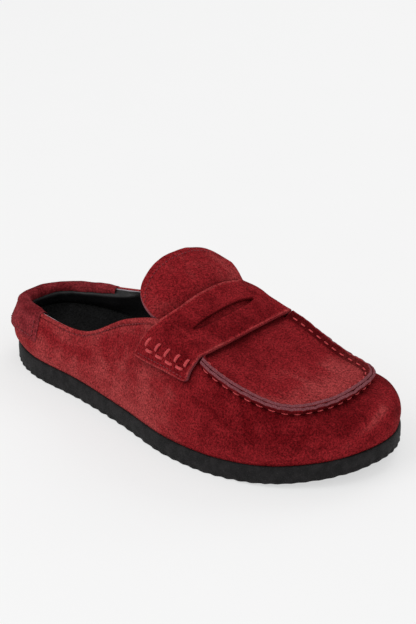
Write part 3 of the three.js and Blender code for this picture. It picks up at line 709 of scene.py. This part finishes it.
def outsole():
    count = TREAD_COUNT * SAMPLES_PER_NOTCH
    p = np.arange(count) * ROUND_LENGTH / count
    u = np.clip((ring(p, 0, 2)[:, 1] + ring(ROUND_LENGTH - p, 0, 2)[:, 1]) / 2, *MIDDLE_RANGE)
    phase = np.arange(count) / SAMPLES_PER_NOTCH
    edge = inset(p, 0.0)
    rough = noise(edge, 7, 3)
    notch = TREAD_DEPTH * (0.75 + 0.25 * rough) * np.abs(np.cos(math.pi * phase)) ** 1.6

    def low(distance, height):
        q = inset(p, distance)
        q[:, 2] = ground_z(q[:, 1]) + height
        return q

    def side(distance, share):
        foot, top = low(distance, TREAD_HEIGHT + TREAD_BEVEL), inset(p, distance, -0.9)
        return lerp(foot, top, share)

    columns = [centre(u, ground_z(u))]
    columns += [low(d, 0) for d in (30, 16, TREAD_LAND, TREAD_LAND - 2)]
    columns += [low(TREAD_BEVEL + notch, 0), low(0.25 + notch, 0.35), low(notch, 0.9)]
    columns += [low(notch * 0.9, TREAD_HEIGHT)]
    columns += [side(0.02 + SIDE_BULGE * (2 * k - 1) ** 4, k) for k in SIDE_SHARES]
    columns += [inset(p, d, z) for d, z in TOP_ROWS]
    columns += [centre(u, sole_top_z(u))]
    grid = np.stack(columns, 1)
    rows, cols = grid.shape[:2]
    pts = grid.reshape(-1, 3)
    faces, first, _ = weld(grid_faces(rows, cols, closed=True), pts)
    wear(build("sole", pts[first], faces, BLACK_FOAM), "shoe", "outsole")


outsole()


# ------------------------------------------------------------ layers of the side wall
HEEL_ZONE = (54, 82)     # u between which the heel's stiffener and rim foam run out
TOE_ZONE = (206, 218)    # and the toe's stiffener comes in
PAD_SHARE = (0.4, 0.75)  # height shares of the wall between which the rim foam thickens


def heel_zone(u):
    return 1 - smooth(u, *HEEL_ZONE)


def lining_depth(p, s):
    """From the wall's outer surface in to the lining."""
    u = top_line(p)[..., 1]
    closing = 1 - smooth(s, 0.9, 1)
    zone = np.maximum(heel_zone(u), smooth(u, *TOE_ZONE))
    return SUEDE + GAP + (STIFF * zone + PAD * heel_zone(u) * smooth(s, *PAD_SHARE)) * closing


def bare_depth(p, s):
    """From the wall's outer surface in to the free space."""
    return lining_depth(p, s) + LINING


SEAM_PITCH_OUTER = 7.6   # between the needle holes on the wall's side of the raised seam
SEAM_PITCH_INNER = 6.2   # and on the apron's side
SEAM_P = np.linspace(lateral_p(np.array(SEAM_FULL)), medial_p(np.array(SEAM_FULL)), 3000)
SEAM_ARC = arc_length(top_line(SEAM_P))


def seam_marks(pitch):
    """p at every needle hole along the raised seam."""
    count = int(SEAM_ARC[-1] / pitch)
    return np.interp(np.arange(count + 1) * SEAM_ARC[-1] / count, SEAM_ARC, SEAM_P)


def pulled(p, pitch):
    """1 at the needle holes of the raised seam and 0 between them."""
    count = int(SEAM_ARC[-1] / pitch)
    phase = np.interp(p, SEAM_P, SEAM_ARC) * count / SEAM_ARC[-1]
    inside = (p >= SEAM_P[0]) & (p <= SEAM_P[-1])
    return np.where(inside, np.exp(-((phase - np.round(phase)) / 0.13) ** 2), 0)


WALL_S = np.concatenate([np.linspace(0, 0.12, 5), np.linspace(0.15, 0.88, 30), np.linspace(0.895, 1, 16)])
LIP_STEPS = np.array([0.12, 0.3, 0.55, 0.8, 1.0])
MARGIN_STEPS = (1.0, 0.6, 0.3)
MARGIN_THICK = 1.6       # of the wall's skived margin under the foot
EDGE_S = 0.93            # height share of the groove below the rolled top edge
PUCKER = 0.6             # depth of the puckers at the needle holes
GROOVE = 0.45
TOE_HIGHLIGHT = (8.62, 0.41)  # p and s of the painted highlight on the toe


def lip_height(edge, p, seeds):
    """Height of a turned-up lip, with the slight waves of its cut edge."""
    return (LIP + 0.12 * noise(edge, 3.2, seeds[0]) + 0.3 * noise(edge, 14, seeds[1])) * seam(p)


def wall_tone(p, s, u):
    """How pale the wall is made: most beside the heel and low down, less towards the toe, plus a painted
    highlight in a slanting patch on the toe.
    """
    tone = 0.16 + 0.66 * (1 - smooth(u, 150, 225)) * (1 - 0.35 * np.exp(-((s - 0.68) / 0.16) ** 2))
    tone += 0.15 * (1 - smooth(s, 0.05, 0.3))
    # Painted highlight: a slanting pale patch on the toe.
    round_off, height_off = p - TOE_HIGHLIGHT[0], s - TOE_HIGHLIGHT[1]
    tone += 0.7 * np.exp(-((round_off * 0.33 - height_off) / 0.13) ** 2 - (round_off / 0.6) ** 2)
    return np.clip(tone, 0, 1)


def upper_wall():
    p = P[:, None]
    s = WALL_S[None, :]
    seam_p = seam(p)
    grid = wall(p, s)
    normal = wall_normal(p, s)
    pucker = pulled(p, SEAM_PITCH_OUTER) * smooth(s, 0.80, 0.985) * seam_p
    groove = np.exp(-((s - EDGE_S) / 0.014) ** 2) * (1 - seam_p)
    soft = noise(grid, 34, 11) * 0.35 + noise(grid, 13, 12) * 0.12
    grid = grid + normal * ((soft * smooth(s, 0.02, 0.15) * (1 - smooth(s, 0.93, 1)))
                            - PUCKER * pucker - GROOVE * groove)[..., None]
    up, across = seam_axes(P)
    top = grid[:, -1]
    height = lip_height(top, P, (21, 22))
    scallop = (0.5 * seam(P) * (1 - pulled(P, SEAM_PITCH_OUTER)))[:, None]
    lips = [top + up * (height * k)[:, None] + across * scallop * math.sin(math.pi * k) for k in LIP_STEPS]
    margin = [inset(P, FEATHER_INSET + MARGIN_WIDTH * k, GAP) for k in MARGIN_STEPS]
    outer = np.stack(margin + list(np.moveaxis(grid, 1, 0)) + lips, 1)

    inner = grid - normal * SUEDE
    inner[:, -1] = top - across * SUEDE - up * (SUEDE * seam(P))[:, None]
    lips_in = [top - across * SUEDE + up * (height * k)[:, None] for k in LIP_STEPS]
    margin_in = [inset(P, FEATHER_INSET + MARGIN_WIDTH * k, GAP + MARGIN_THICK) for k in MARGIN_STEPS]
    foot = inset(P, FEATHER_INSET + SUEDE + GAP, GAP + MARGIN_THICK)
    low = smooth(WALL_S, 0.0, 0.12)[None, :, None]
    inner = np.where(low < 1, lerp(foot[:, None], inner, low), inner)
    inner = np.stack(margin_in + list(np.moveaxis(inner, 1, 0)) + lips_in, 1)

    shape = outer.shape[:2]
    wall_cols = slice(len(MARGIN_STEPS), len(MARGIN_STEPS) + len(WALL_S))
    raw, painted_shade, brushed_and_highlight = np.zeros(shape), np.zeros(shape), np.full(shape, 0.2)
    raw[:, -1] = np.maximum(seam(P), np.where(P > TOE_P, 0.9, 0.35))
    # Painted shadow on the wall along the strap's edges.
    painted_strap_shadow = 1.3 * np.exp(-np.maximum(beside_strap(grid[..., 1], s), 0) / 2.0)
    # Painted shade in the puckers, in the groove below the top edge and under the raised seam.
    crease_shade = 0.75 * pucker + 0.8 * groove + 0.45 * smooth(s, 0.93, 1) * seam_p
    painted_shade[:, wall_cols] = np.clip(crease_shade + painted_strap_shadow, 0, 1)
    # Painted shade on the raised seam's outer face.
    painted_shade[:, wall_cols.stop:-1] = 0.35 * seam(P)[:, None]
    # Pale tone of the wall, with the painted highlight on the toe.
    brushed_and_highlight[:, wall_cols] = wall_tone(p, s, grid[..., 1])
    brushed_and_highlight[:, :wall_cols.start] = 0.3
    obj = shell("upper", outer, inner, grid_faces(*shape, closed=True), RED,
                masks={"raw": raw, "painted_shade": painted_shade, "brushed_and_highlight": brushed_and_highlight})
    wear(obj, "shoe", "upper_wall")


upper_wall()


def lining(name, p, s, node, raw_top=False):
    """Lining leather inside the wall, over ranges of p and s."""
    p, s = p[:, None], s[None, :]
    pts = wall(p, s)
    wave = 0.15 * noise(pts, 12, 31)
    outer = wall_at(p, s, -lining_depth(p, s))
    inner = wall_at(p, s, -bare_depth(p, s) + wave)
    raw = np.zeros(outer.shape[:2])
    if raw_top:
        raw[:, -1] = 1
    faces = grid_faces(*outer.shape[:2])
    obj = shell(name, outer, inner, faces, BLACK_LEATHER, bulge=0.3, masks={"raw": raw})
    wear(obj, "shoe", node)


LINING_FOOT = 0.13       # height share of the wall where the linings start
LINING_JOIN = FRONT_U[0] - 0.6                 # u where they meet
lining("back_lining", np.linspace(medial_p(LINING_JOIN) - ROUND_LENGTH, lateral_p(LINING_JOIN), 200),
       np.linspace(LINING_FOOT, 1, 34), "quarter_lining", raw_top=True)
lining("front_lining", FRONT_P, np.linspace(LINING_FOOT, 0.9, 16), "vamp_lining")

# ------------------------------------------------------------ footbed
BED_EDGE = [(5, 14.5), (90, 14), (150, 12), (200, 8.5), (262, 8)]   # u, height of the rim above the sole
BED_DISH = [(5, 5), (60, 6.5), (110, 4), (190, 1.5), (262, 1)]      # u, depth of the middle below the rim
COVER = 1.2              # thickness of the footbed's cover
BED_CLEAR = 0.3          # between the cover and the lining


def bed_edge(p, lift):
    """Footbed's rim against the lining, at a lift above the sole."""
    def at(s):
        return wall_at(p, s, -bare_depth(p, s) - BED_CLEAR)

    def height(s):
        q = at(s)
        return q[..., 2] - sole_top_z(q[..., 1])
    return at(solve(height, lift, 0.02, 0.9))


def footbed():
    g = np.linspace(0, 1, 26)[None, :, None]
    edge_u = top_line(P)[:, 1]

    def level(depth):
        rim = bed_edge(P, along(BED_EDGE, edge_u) - depth)[:, None]
        low = sole_top_z(MIDDLE_U) + along(BED_EDGE, MIDDLE_U) - along(BED_DISH, MIDDLE_U) - depth
        pts = lerp(centre(MIDDLE_U)[:, None], rim, g)
        pts[..., 2] = lerp(low[:, None], rim[..., 2], g[..., 0] ** 2.5)
        return pts

    top = level(0.0)
    top[..., 2] += 0.25 * noise(top, 16, 41) * (1 - g[..., 0] ** 6)
    obj = shell("footbed", top, level(COVER), grid_faces(*top.shape[:2], closed=True), BLACK_SUEDE, bulge=0.2)
    wear(obj, "shoe", "footbed_cover")


footbed()


# ------------------------------------------------------------ apron
def apron_shift(p):
    """How far the apron's edge lies inside the wall's top edge."""
    return lerp(SUEDE + 5 * GAP, GAP / 2, seam(p))


def apron_point(g, base):
    """Arched surface of the apron, from its edge (g = 0) to the middle line (g = 1)."""
    q = lerp(base, centre(FRONT_U)[:, None], g[None, :, None])
    drop = along(INSTEP_Z, base[..., 1]) - base[..., 2]
    q[..., 2] = along(INSTEP_Z, q[..., 1]) - drop * (1 - g[None, :]) ** 2
    return q


APRON_G = np.concatenate([[0.045, 0.09], np.linspace(0.14, 1, 24)])
KNEE = (0, 0.25, 0.5, 0.75, 1)       # rows down the turned-up lip
FOLD = np.linspace(0, 1, 5)[1:-1]    # and round the bend at its foot
TURNED = len(KNEE) + len(FOLD)


def apron():
    up, across = seam_axes(FRONT_P)
    edge = top_line(FRONT_P)
    shift = apron_shift(FRONT_P)[:, None]
    pull = pulled(FRONT_P, SEAM_PITCH_INNER)
    base = (edge - across * (shift + SUEDE))[:, None]
    height = lip_height(edge, FRONT_P, (23, 24))

    def level(side):
        face = edge - across * (shift + side * SUEDE)
        face = face + across * (side * 0.3 * pull * seam(FRONT_P))[:, None]
        foot = face - up * ((1 - side) * SUEDE)
        top = face + up * height[:, None]
        surface = apron_point(APRON_G, base)
        surface[..., 2] += (side - 1) * SUEDE
        if side:
            soft = 0.4 * noise(surface, 30, 25) + 0.12 * noise(surface, 11, 26)
            gather = 0.5 * pull[:, None] * np.exp(-APRON_G / 0.07)[None, :] * seam(FRONT_P)[:, None]
            surface[..., 2] += soft * smooth(APRON_G, 0, 0.3) - gather
        knee = lerp(foot, top, 0.25)
        fold = [(1 - t) ** 2 * knee + 2 * (1 - t) * t * foot + t * t * surface[:, 0] for t in FOLD]
        columns = [lerp(top, knee, k) for k in KNEE] + fold
        return np.concatenate([np.stack(columns, 1), surface], 1)

    outer, inner = level(1), level(0)
    raw = np.zeros(outer.shape[:2])
    raw[:, 0] = seam(FRONT_P)
    raw[[0, -1]] = 0
    painted_shade = np.zeros(outer.shape[:2])
    # Painted shade on the turned-up lip, deep on the far side's inner face.
    painted_shade[:, 1:TURNED] = np.where(FRONT_P > TOE_P + 0.6, 0.96, 0.24)[:, None]
    # Painted shade in the bend at the lip's foot.
    painted_shade[:, TURNED:] = 0.5 * np.exp(-APRON_G / 0.06)[None, :]
    # Painted shade under the strap, lighter where the apron shows through the slot.
    under_strap_shade = np.exp(-np.maximum(outer[..., 1] - STRAP_FRONT - 0.5, 0) / 1.6)
    through_slot = np.exp(-((outer[..., 1] - (STRAP_REAR + STRAP_FRONT) / 2) / 5) ** 4)
    through_slot[:, TURNED:] *= smooth(APRON_G, 0.1, 0.25)[None, :]
    painted_shade = np.maximum(painted_shade, under_strap_shade * (1 - 0.75 * through_slot))
    brushed_and_highlight = 0.4 + 0.5 * smooth(outer[..., 1], 212, 252)
    obj = shell("apron_top", outer, inner, grid_faces(*outer.shape[:2]), RED,
                masks={"raw": raw, "painted_shade": painted_shade, "brushed_and_highlight": brushed_and_highlight})
    wear(obj, "shoe", "apron")

    g = np.linspace(0.14, 1, 14)
    under = [apron_point(g, base) - points(0, 0, SUEDE + GAP + k) for k in (0, LINING)]
    obj = shell("apron_underside", *under, grid_faces(*under[0].shape[:2]), BLACK_LEATHER, bulge=0.2)
    wear(obj, "shoe", "apron_lining")


apron()


# ------------------------------------------------------------ strap
NEAR_END = [0.003, 0.01, 0.025, 0.05]                # rows at the slot's round ends, as shares of its length
SLOT_ROWS = [0, *NEAR_END, *np.linspace(0.08, 0.92, 60), *(1 - k for k in NEAR_END[::-1]), 1]
# Rows from an edge of the strap to the slot, as shares of the way.
TO_SLOT = np.array([0, 0.03, 0.07, 0.13, 0.2, 0.32, 0.45, 0.58, 0.7, 0.8, 0.88, 0.94, 0.975, 1])


def strap():
    w = np.concatenate([np.linspace(-1, -0.92, 10), np.linspace(-0.91, SLOT_FROM, 46)[:-1],
                        lerp(SLOT_FROM, SLOT_TO, np.array(SLOT_ROWS)), np.linspace(SLOT_TO, 0.91, 46)[1:],
                        np.linspace(0.92, 1, 10)])
    rear, front = strap_rear(w), strap_front(w)
    middle = (rear + front) / 2
    inside = (w > SLOT_FROM + 1e-6) & (w < SLOT_TO - 1e-6)
    across = np.clip(2 * (w - SLOT_FROM) / (SLOT_TO - SLOT_FROM) - 1, -1, 1)
    opened = np.where(inside, np.sqrt(1 - across ** 6), 0) * (1 - 0.25 * across ** 2)
    half = SLOT_WIDTH / 2 * opened
    back = lerp(rear[:, None], (middle - half)[:, None], TO_SLOT[None])
    fore = lerp((middle + half)[:, None], front[:, None], 1 - TO_SLOT[None, ::-1])
    u = np.concatenate([back, fore], 1)
    grid_w = np.broadcast_to(w[:, None], u.shape)
    flare = 1.5 * smooth(u, front[:, None] - 15, front[:, None]) * (1 - smooth(np.abs(grid_w), 0.42, 0.62))
    lift = strap_lift(grid_w) + flare
    beside_slot = np.abs(u - middle[:, None]) - half[:, None]
    welt = np.exp(-((beside_slot - 1.6) / 1.3) ** 2) * opened[:, None]
    from_end = (1 - np.abs(grid_w)) * WALL_HEIGHT
    from_edge = np.minimum(np.minimum(u - rear[:, None], front[:, None] - u), from_end)
    edge_bead = np.exp(-((from_edge - 0.7) / 0.7) ** 2)
    under, _ = instep_at(u, grid_w, lift)
    over, normal = instep_at(u, grid_w, lift + STRAP_THICK)
    relief = 0.3 * noise(over, 20, 51) + 0.1 * noise(over, 7, 52) + 0.45 * welt + 0.25 * edge_bead
    over = over + normal * relief[..., None]
    rows, cols = u.shape
    keep = np.ones((rows - 1, cols - 1), bool)
    slot_rows = (w[:-1] >= SLOT_FROM - 1e-6) & (w[1:] <= SLOT_TO + 1e-6)
    keep[slot_rows, len(TO_SLOT) - 1] = False
    raw = np.zeros(u.shape)
    raw[0] = raw[-1] = 1
    # The rear edge is a real cut edge; its pale cut-edge colour is also raised to paint a highlight line
    # along it.
    raw[:, 0] = 0.35
    raw[:, -1] = 0.2
    raw[np.abs(w) > 0.5, -1] = 0.6
    painted_shade = np.zeros(u.shape)
    # Painted shade on the slot's rim.
    painted_shade[:, len(TO_SLOT) - 1:len(TO_SLOT) + 1] = 0.9 * opened[:, None]
    # Pale tone, with a painted highlight along the raised edge bead.
    brushed_and_highlight = 0.27 + 0.1 * smooth(grid_w, -0.1, 0.5) + 0.65 * edge_bead
    obj = shell("saddle_strap", over, under, grid_faces(rows, cols, keep=keep), RED, bulge=0.35, square=0.8,
                masks={"raw": raw, "painted_shade": painted_shade, "brushed_and_highlight": brushed_and_highlight})
    wear(obj, "shoe", "strap")


strap()


# ------------------------------------------------------------ tongue
# Pairs give the outer half and the inner half. Here w runs from -1 to 1 across the tongue.
TONGUE_X = 1.5           # x of its middle
TONGUE_HALF = 38.5       # half width
TONGUE_REAR = 126        # u of its rear edge, and how much further back it reaches on the outer side
TONGUE_SKEW = 3.5
TONGUE_SIDE = 144        # u where its round rear edge meets its sides
TONGUE_ROOT = 158.2      # u where it goes in under the strap
TONGUE_CROWN = (20, 9.5)                             # drop from the middle to the sides
ROOT_CURVE = (6, 3.2)                                # how far the sides of its root lie back
TONGUE_WAIST = (0.2, 0.08)                           # share of the width lost towards the root
TONGUE_ROUND = (6, 4)                                # higher is squarer
TUCK = (150, 156.5)      # u between which it dips to pass under the strap
TONGUE_CURL = 0.6


def tongue_point(w, t, lift):
    """Surface of the tongue, from its root (t = 0) to its free edge (t = 1)."""
    w, t = np.broadcast_arrays(np.asarray(w, float), np.asarray(t, float))
    outer = w < 0
    root = TONGUE_ROOT - np.where(outer, *ROOT_CURVE) * w ** 2
    rounded = np.sqrt(np.maximum(1 - np.abs(w) ** np.where(outer, *TONGUE_ROUND), 0))
    edge = TONGUE_SIDE - (TONGUE_SIDE - TONGUE_REAR - TONGUE_SKEW * w) * rounded
    u = lerp(root, edge, t)
    half = TONGUE_HALF * (1 - np.where(outer, *TONGUE_WAIST) * smooth(u, TONGUE_SIDE - 2, TONGUE_ROOT))
    low = SUEDE * smooth(u, *TUCK)
    z = along(INSTEP_Z, u) - np.where(outer, *TONGUE_CROWN) * w ** 2 - low
    return points(TONGUE_X + half * w, u, z + lift)


def tongue_waves(top, t):
    """Soft waves of the tongue and the curl of its free edge, at points of its upper face."""
    return 0.4 * noise(top, 26, 61) * t + TONGUE_CURL * t ** 4


def tongue_dimples(top, t):
    return 0.12 * noise(top, 9, 62) * t


def bend(obj, node):
    """The piece keeps its place in the frame, its transform baked into its points, and stands for a CAD node,
    which it hides.
    """
    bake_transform(obj)
    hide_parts(node)


def tongue():
    w = np.sin(np.linspace(-1, 1, 101) * math.pi / 2)
    t = np.concatenate([np.linspace(0, 0.9, 28), np.linspace(0.92, 1, 6)])
    top = tongue_point(w[:, None], t[None, :], SUEDE)
    top[..., 2] += tongue_waves(top, t) + tongue_dimples(top, t)
    bottom = tongue_point(w[:, None], t[None, :], 0.0)
    bottom[..., 2] += tongue_waves(top, t)
    raw = np.zeros(top.shape[:2])
    raw[:, -1] = 1
    raw[:2] = raw[-2:] = 1
    brushed_and_highlight = 0.53 + 0.25 * smooth(w, 0.2, 0.95)[:, None] + 0 * t
    # Painted shadow of the strap's rear edge on the tongue.
    painted_shade = 0.8 * np.exp(-np.maximum(STRAP_REAR - 1.5 - top[..., 1], 0) / 1.5)
    obj = shell("tongue_top", top, bottom, grid_faces(*top.shape[:2]), RED, bulge=0.3,
                masks={"raw": raw, "brushed_and_highlight": brushed_and_highlight, "painted_shade": painted_shade})
    bend(obj, "tongue")

    w, t = w[10:-10], np.linspace(0.02, 0.93, 20)
    waves = tongue_waves(tongue_point(w[:, None], t[None, :], SUEDE), t)
    layers = [tongue_point(w[:, None], t[None, :], -depth) + points(0, 0, waves)
              for depth in (GAP, GAP + LINING)]
    obj = shell("tongue_underside", *layers, grid_faces(*layers[0].shape[:2]), BLACK_LEATHER, bulge=0.2)
    bend(obj, "tongue_lining")


tongue()


# ------------------------------------------------------------ heel patch
PATCH = 1.4              # thickness
PATCH_LOW = 0.44         # height shares of the wall: its lower edge,
PATCH_HIGH = 0.86        # where it starts to fold over the rim
PATCH_INSIDE = 0.955     # and where it ends inside
PATCH_OUTER = 39.0       # u of its outer and inner front edges
PATCH_INNER = 53.0
PATCH_ROWS = 16          # rows up the wall
PATCH_TAPER = 9          # length over which it thins towards its front edges
ARCH_STEPS = 17


def heel_patch():
    """Soft suede patch, folded over the padded rim."""
    p = np.linspace(medial_p(PATCH_INNER) - ROUND_LENGTH, lateral_p(PATCH_OUTER), 130)
    n = outward(p)

    def path(lift):
        outside = [wall_at(p, s, lift) for s in np.linspace(PATCH_LOW, PATCH_HIGH, PATCH_ROWS)]
        a, b = outside[-1], wall_at(p, PATCH_INSIDE, -bare_depth(p, PATCH_INSIDE) - lift)
        peak = wall(p, 1.0)[:, 2] + lift
        arch = []
        for k in range(1, ARCH_STEPS):
            angle = math.pi * k / ARCH_STEPS
            q = lerp(a, b, (1 - math.copysign(abs(math.cos(angle)) ** 0.8, math.cos(angle))) / 2)
            q[:, 2] += (peak - q[:, 2]) * math.sin(angle) ** 0.75
            arch.append(q)
        return np.stack(outside + arch + [b], 1)

    outer, inner = path(GAP + PATCH), path(GAP)
    soft = 0.5 * noise(outer, 19, 71) + 0.2 * noise(outer, 8, 72)
    outer = outer + n[:, None] * (0.35 * soft)[..., None] + points(0, 0, 0.3 * soft)
    from_end = arc_length(outer[:, 0])
    thick = 0.35 + 0.65 * smooth(np.minimum(from_end, from_end[-1] - from_end), 0, PATCH_TAPER)[:, None]
    outer = lerp(inner, outer, thick[..., None])
    raw = np.zeros(outer.shape[:2])
    raw[:, 0] = 0.15
    raw[0] = raw[-1] = 0.25
    brushed_and_highlight = np.full(outer.shape[:2], 0.45)
    brushed_and_highlight[:, PATCH_ROWS:] = 0.3
    obj = shell("heel_patch_suede", outer, inner, grid_faces(*outer.shape[:2]), DARK_RED, bulge=0.45,
                square=0.9, masks={"raw": raw, "brushed_and_highlight": brushed_and_highlight})
    wear(obj, "shoe", "heel_patch")


heel_patch()


# ------------------------------------------------------------ stitches
SINK = 0.1               # of a stitch's ends below the surface


def stitches(name, row, radius, rise, sides=10, rings=9, twist=0.0, thread=FINE_THREAD):
    """One closed length of thread per stitch, arched over the surface, its ends down in the needle holes.

    row holds the starts, the ends and the directions away from the surface.
    """
    t = np.linspace(0, 1, rings)
    phi = 2 * math.pi * np.arange(sides) / sides
    verts, faces = [], []
    for a, b, n in zip(*row):
        d = unit(b - a)
        n = unit(n - d * (n @ d))
        side = np.cross(d, n)
        height = rise * np.sin(math.pi * t) ** 0.6 - SINK - radius * (2 * t - 1) ** 6
        line = lerp(a, b, t[:, None]) + n * height[:, None]
        width = radius * np.sqrt(np.maximum(1 - (2 * t - 1) ** 8, 0))
        base = len(verts)
        verts.append(line[0] - d * 0.01)
        for i in range(1, rings - 1):
            r = width[i] * (1 + twist * np.cos(2 * phi + 9 * t[i] * math.pi))
            verts.extend(line[i] + (np.cos(phi) * r)[:, None] * n + (np.sin(phi) * r)[:, None] * side)
        verts.append(line[-1] + d * 0.01)
        last = len(verts) - 1
        for j in range(sides):
            k = (j + 1) % sides
            faces.append((base, base + 1 + k, base + 1 + j))
            for i in range(rings - 3):
                r0, r1 = base + 1 + i * sides, base + 1 + (i + 1) * sides
                faces.append((r0 + j, r0 + k, r1 + k, r1 + j))
            r0 = base + 1 + (rings - 3) * sides
            faces.append((r0 + j, r0 + k, last))
    return build(name, np.array(verts), faces, thread)


def running(path, pitch, dash):
    """Starts, ends and normals of a running stitch along a fine path given as (points, normals)."""
    pts, normals = path
    arc = arc_length(pts)
    count = max(int((arc[-1] - dash) / pitch), 1)
    first = (arc[-1] - count * pitch - dash) / 2
    begin = first + np.arange(count + 1) * pitch

    def at(where, values):
        return np.stack([np.interp(where, arc, values[:, k]) for k in range(3)], -1)
    return at(begin, pts), at(begin + dash, pts), unit(at(begin + dash / 2, normals))


def on_wall(p, s, lift):
    return wall_at(p, s, lift), wall_normal(p, s)


FINE = {"radius": 0.34, "rise": 0.35}
TOPLINE_RANGE = (57, 143)            # u where the rows below the top edge begin and end
TONGUE_ROW_T = 1 - 3.2 / 24          # t of the tongue's row of stitches


def topline_stitches(side, to_p):
    p = to_p(np.linspace(*TOPLINE_RANGE, 160))
    row = running(on_wall(p, EDGE_S, -0.25), pitch=3.2, dash=2.3)
    wear(stitches(f"topline_stitches_{side}", row, **FINE), "shoe", f"topline_stitch_{side}")


topline_stitches("lateral", lateral_p)
topline_stitches("medial", medial_p)


def patch_stitches():
    """Down one front edge of the patch, along its lower edge and up the other."""
    first, last = lateral_p(PATCH_OUTER - 3), medial_p(PATCH_INNER - 3) - ROUND_LENGTH
    rise = np.linspace(PATCH_HIGH, PATCH_LOW + 0.07, 40)
    below = np.linspace(first, last, 160)[1:-1]
    p = np.concatenate([np.full(len(rise), float(first)), below, np.full(len(rise), float(last))])
    s = np.concatenate([rise, np.full(len(below), rise[-1]), rise[::-1]])
    row = running(on_wall(p, s, GAP + PATCH), pitch=3.4, dash=2.4)
    wear(stitches("patch_stitches", row, radius=0.36, rise=0.4), "shoe", "heel_patch_stitch")


patch_stitches()


END_ROW_W = 0.955        # w of the fine row along each strap end
# Bars and dashes of the stitched ladder on each strap end: u, w.
LADDER_TOPS = [(153.7, 162.3, 170.8, 179.0, 186.0), (0.733, 0.748, 0.733, 0.704, 0.664)]
LADDER_FEET = [(149.7, 159.3, 168.0, 176.7, 184.7), (0.850, 0.858, 0.862, 0.845, 0.822)]
LADDER_DASH_STARTS = [(150.6, 160.2, 169.2, 178.2), (0.876, 0.885, 0.889, 0.874)]
LADDER_DASH_ENDS = [(157.2, 166.6, 175.6, 184.4), (0.880, 0.888, 0.887, 0.860)]


def strap_stitches(side, name):
    def on_strap(u, w):
        w = np.asarray(w, float) * side
        return instep_at(np.asarray(u, float), w, strap_lift(w) + STRAP_THICK)

    u = np.linspace(float(strap_rear(END_ROW_W)) + 3, float(strap_front(END_ROW_W)) - 3, 80)
    row = running(on_strap(u, np.full(len(u), END_ROW_W)), pitch=3.0, dash=2.2)
    wear(stitches(f"strap_stitches_{name}", row, **FINE), "shoe", f"strap_edge_stitch_{name}")
    a, n = on_strap(*LADDER_TOPS)
    b, _ = on_strap(*LADDER_FEET)
    low_a, low_n = on_strap(*LADDER_DASH_STARTS)
    low_b, _ = on_strap(*LADDER_DASH_ENDS)
    row = np.concatenate([a, low_a]), np.concatenate([b, low_b]), np.concatenate([n, low_n])
    obj = stitches(f"strap_ladder_{name}", row, radius=0.95, rise=1.2, twist=0.12, sides=14, rings=13,
                   thread=THREAD_RED)
    wear(obj, "shoe", f"strap_ladder_stitch_{name}")


strap_stitches(-1, "lateral")
strap_stitches(1, "medial")


def tongue_stitches():
    w = np.linspace(-0.93, 0.93, 220)
    t = np.full(len(w), TONGUE_ROW_T)
    pts = tongue_point(w, t, SUEDE)
    pts[:, 2] += tongue_waves(pts, t) + tongue_dimples(pts, t)
    row = running((pts, points(0.3 * w, 0, 1)), pitch=2.9, dash=2.1)
    wear(stitches("tongue_stitches", row, **FINE), "tongue_flap", "tongue_edge_stitch")


tongue_stitches()


def seam_stitches():
    """Hand-sewn stitches along both feet of the raised seam."""
    row = []
    for side, pitch, rise, shrink in ((1, SEAM_PITCH_OUTER, 1.1, 0.16), (-1, SEAM_PITCH_INNER, 1.3, 0.2)):
        marks = seam_marks(pitch)
        up, across = seam_axes(marks)
        foot = top_line(marks) + across * side * (SUEDE + GAP / 2) + up * rise
        starts, ends = lerp(foot[:-1], foot[1:], shrink), lerp(foot[:-1], foot[1:], 1 - shrink)
        row.append((starts, ends, side * unit(across[:-1] + across[1:])))
    obj = stitches("seam_stitches", [np.concatenate(v) for v in zip(*row)], radius=0.5, rise=0.75, rings=11,
                   twist=0.1, thread=THREAD_RED)
    wear(obj, "shoe", "apron_seam_thread")


seam_stitches()


# ------------------------------------------------------------ studio
FLOOR_SIZE = 6.0
FLOOR_GLOW = 0.58        # keeps the floor pale in its soft shadows
SKY = 0.58
# Softboxes: name, place, side in metres, power in watts.
LIGHTS = [("key", (-1.2, 0.5, 1.3), 1.2, 10), ("fill", (-0.5, -1.3, 1.1), 1.0, 4),
          ("back", (1.2, 0.2, 1.2), 1.0, 5)]
LIT = Vector((0, 0, 0.04))
# Camera, in metres but for the lens.
CAMERA_AT = (-1.0352, -0.8713, 0.7268)
CAMERA_TO = (0.0051, -0.0124, 0.0709)
CAMERA_LENS = 136.1


def place(name, data, at, target):
    """Object at a place, turned to look at a target."""
    obj = bpy.data.objects.new(name, data)
    obj.location = at
    obj.rotation_euler = (target - Vector(at)).to_track_quat("-Z", "Y").to_euler()
    bpy.context.scene.collection.objects.link(obj)
    return obj


def studio():
    bpy.ops.mesh.primitive_plane_add(size=FLOOR_SIZE)
    floor = bpy.context.object
    floor.name = "floor"
    s = Shader("floor", 0.9, Specular_IOR_Level=0.0, Emission_Color=(1, 1, 1, 1),
               Emission_Strength=FLOOR_GLOW)
    floor.data.materials.append(s.done(s.mix(s.noise(60, detail=2), grey(0.356), grey(0.364))))

    world = bpy.data.worlds.new("studio")
    bpy.context.scene.world = world
    world.use_nodes = True
    world.node_tree.nodes["Background"].inputs["Color"].default_value = (1, 1, 1, 1)
    world.node_tree.nodes["Background"].inputs["Strength"].default_value = SKY

    for name, at, size, power in LIGHTS:
        light = bpy.data.lights.new(name, "AREA")
        light.energy, light.shape, light.size = power, "SQUARE", size
        place(name, light, at, LIT)

    camera = bpy.data.cameras.new("camera")
    camera.lens, camera.sensor_width = CAMERA_LENS, 36
    camera.clip_start, camera.clip_end = 0.05, 50
    bpy.context.scene.camera = place("camera", camera, CAMERA_AT, Vector(CAMERA_TO))
    bpy.context.scene.view_settings.view_transform = "Standard"


studio()
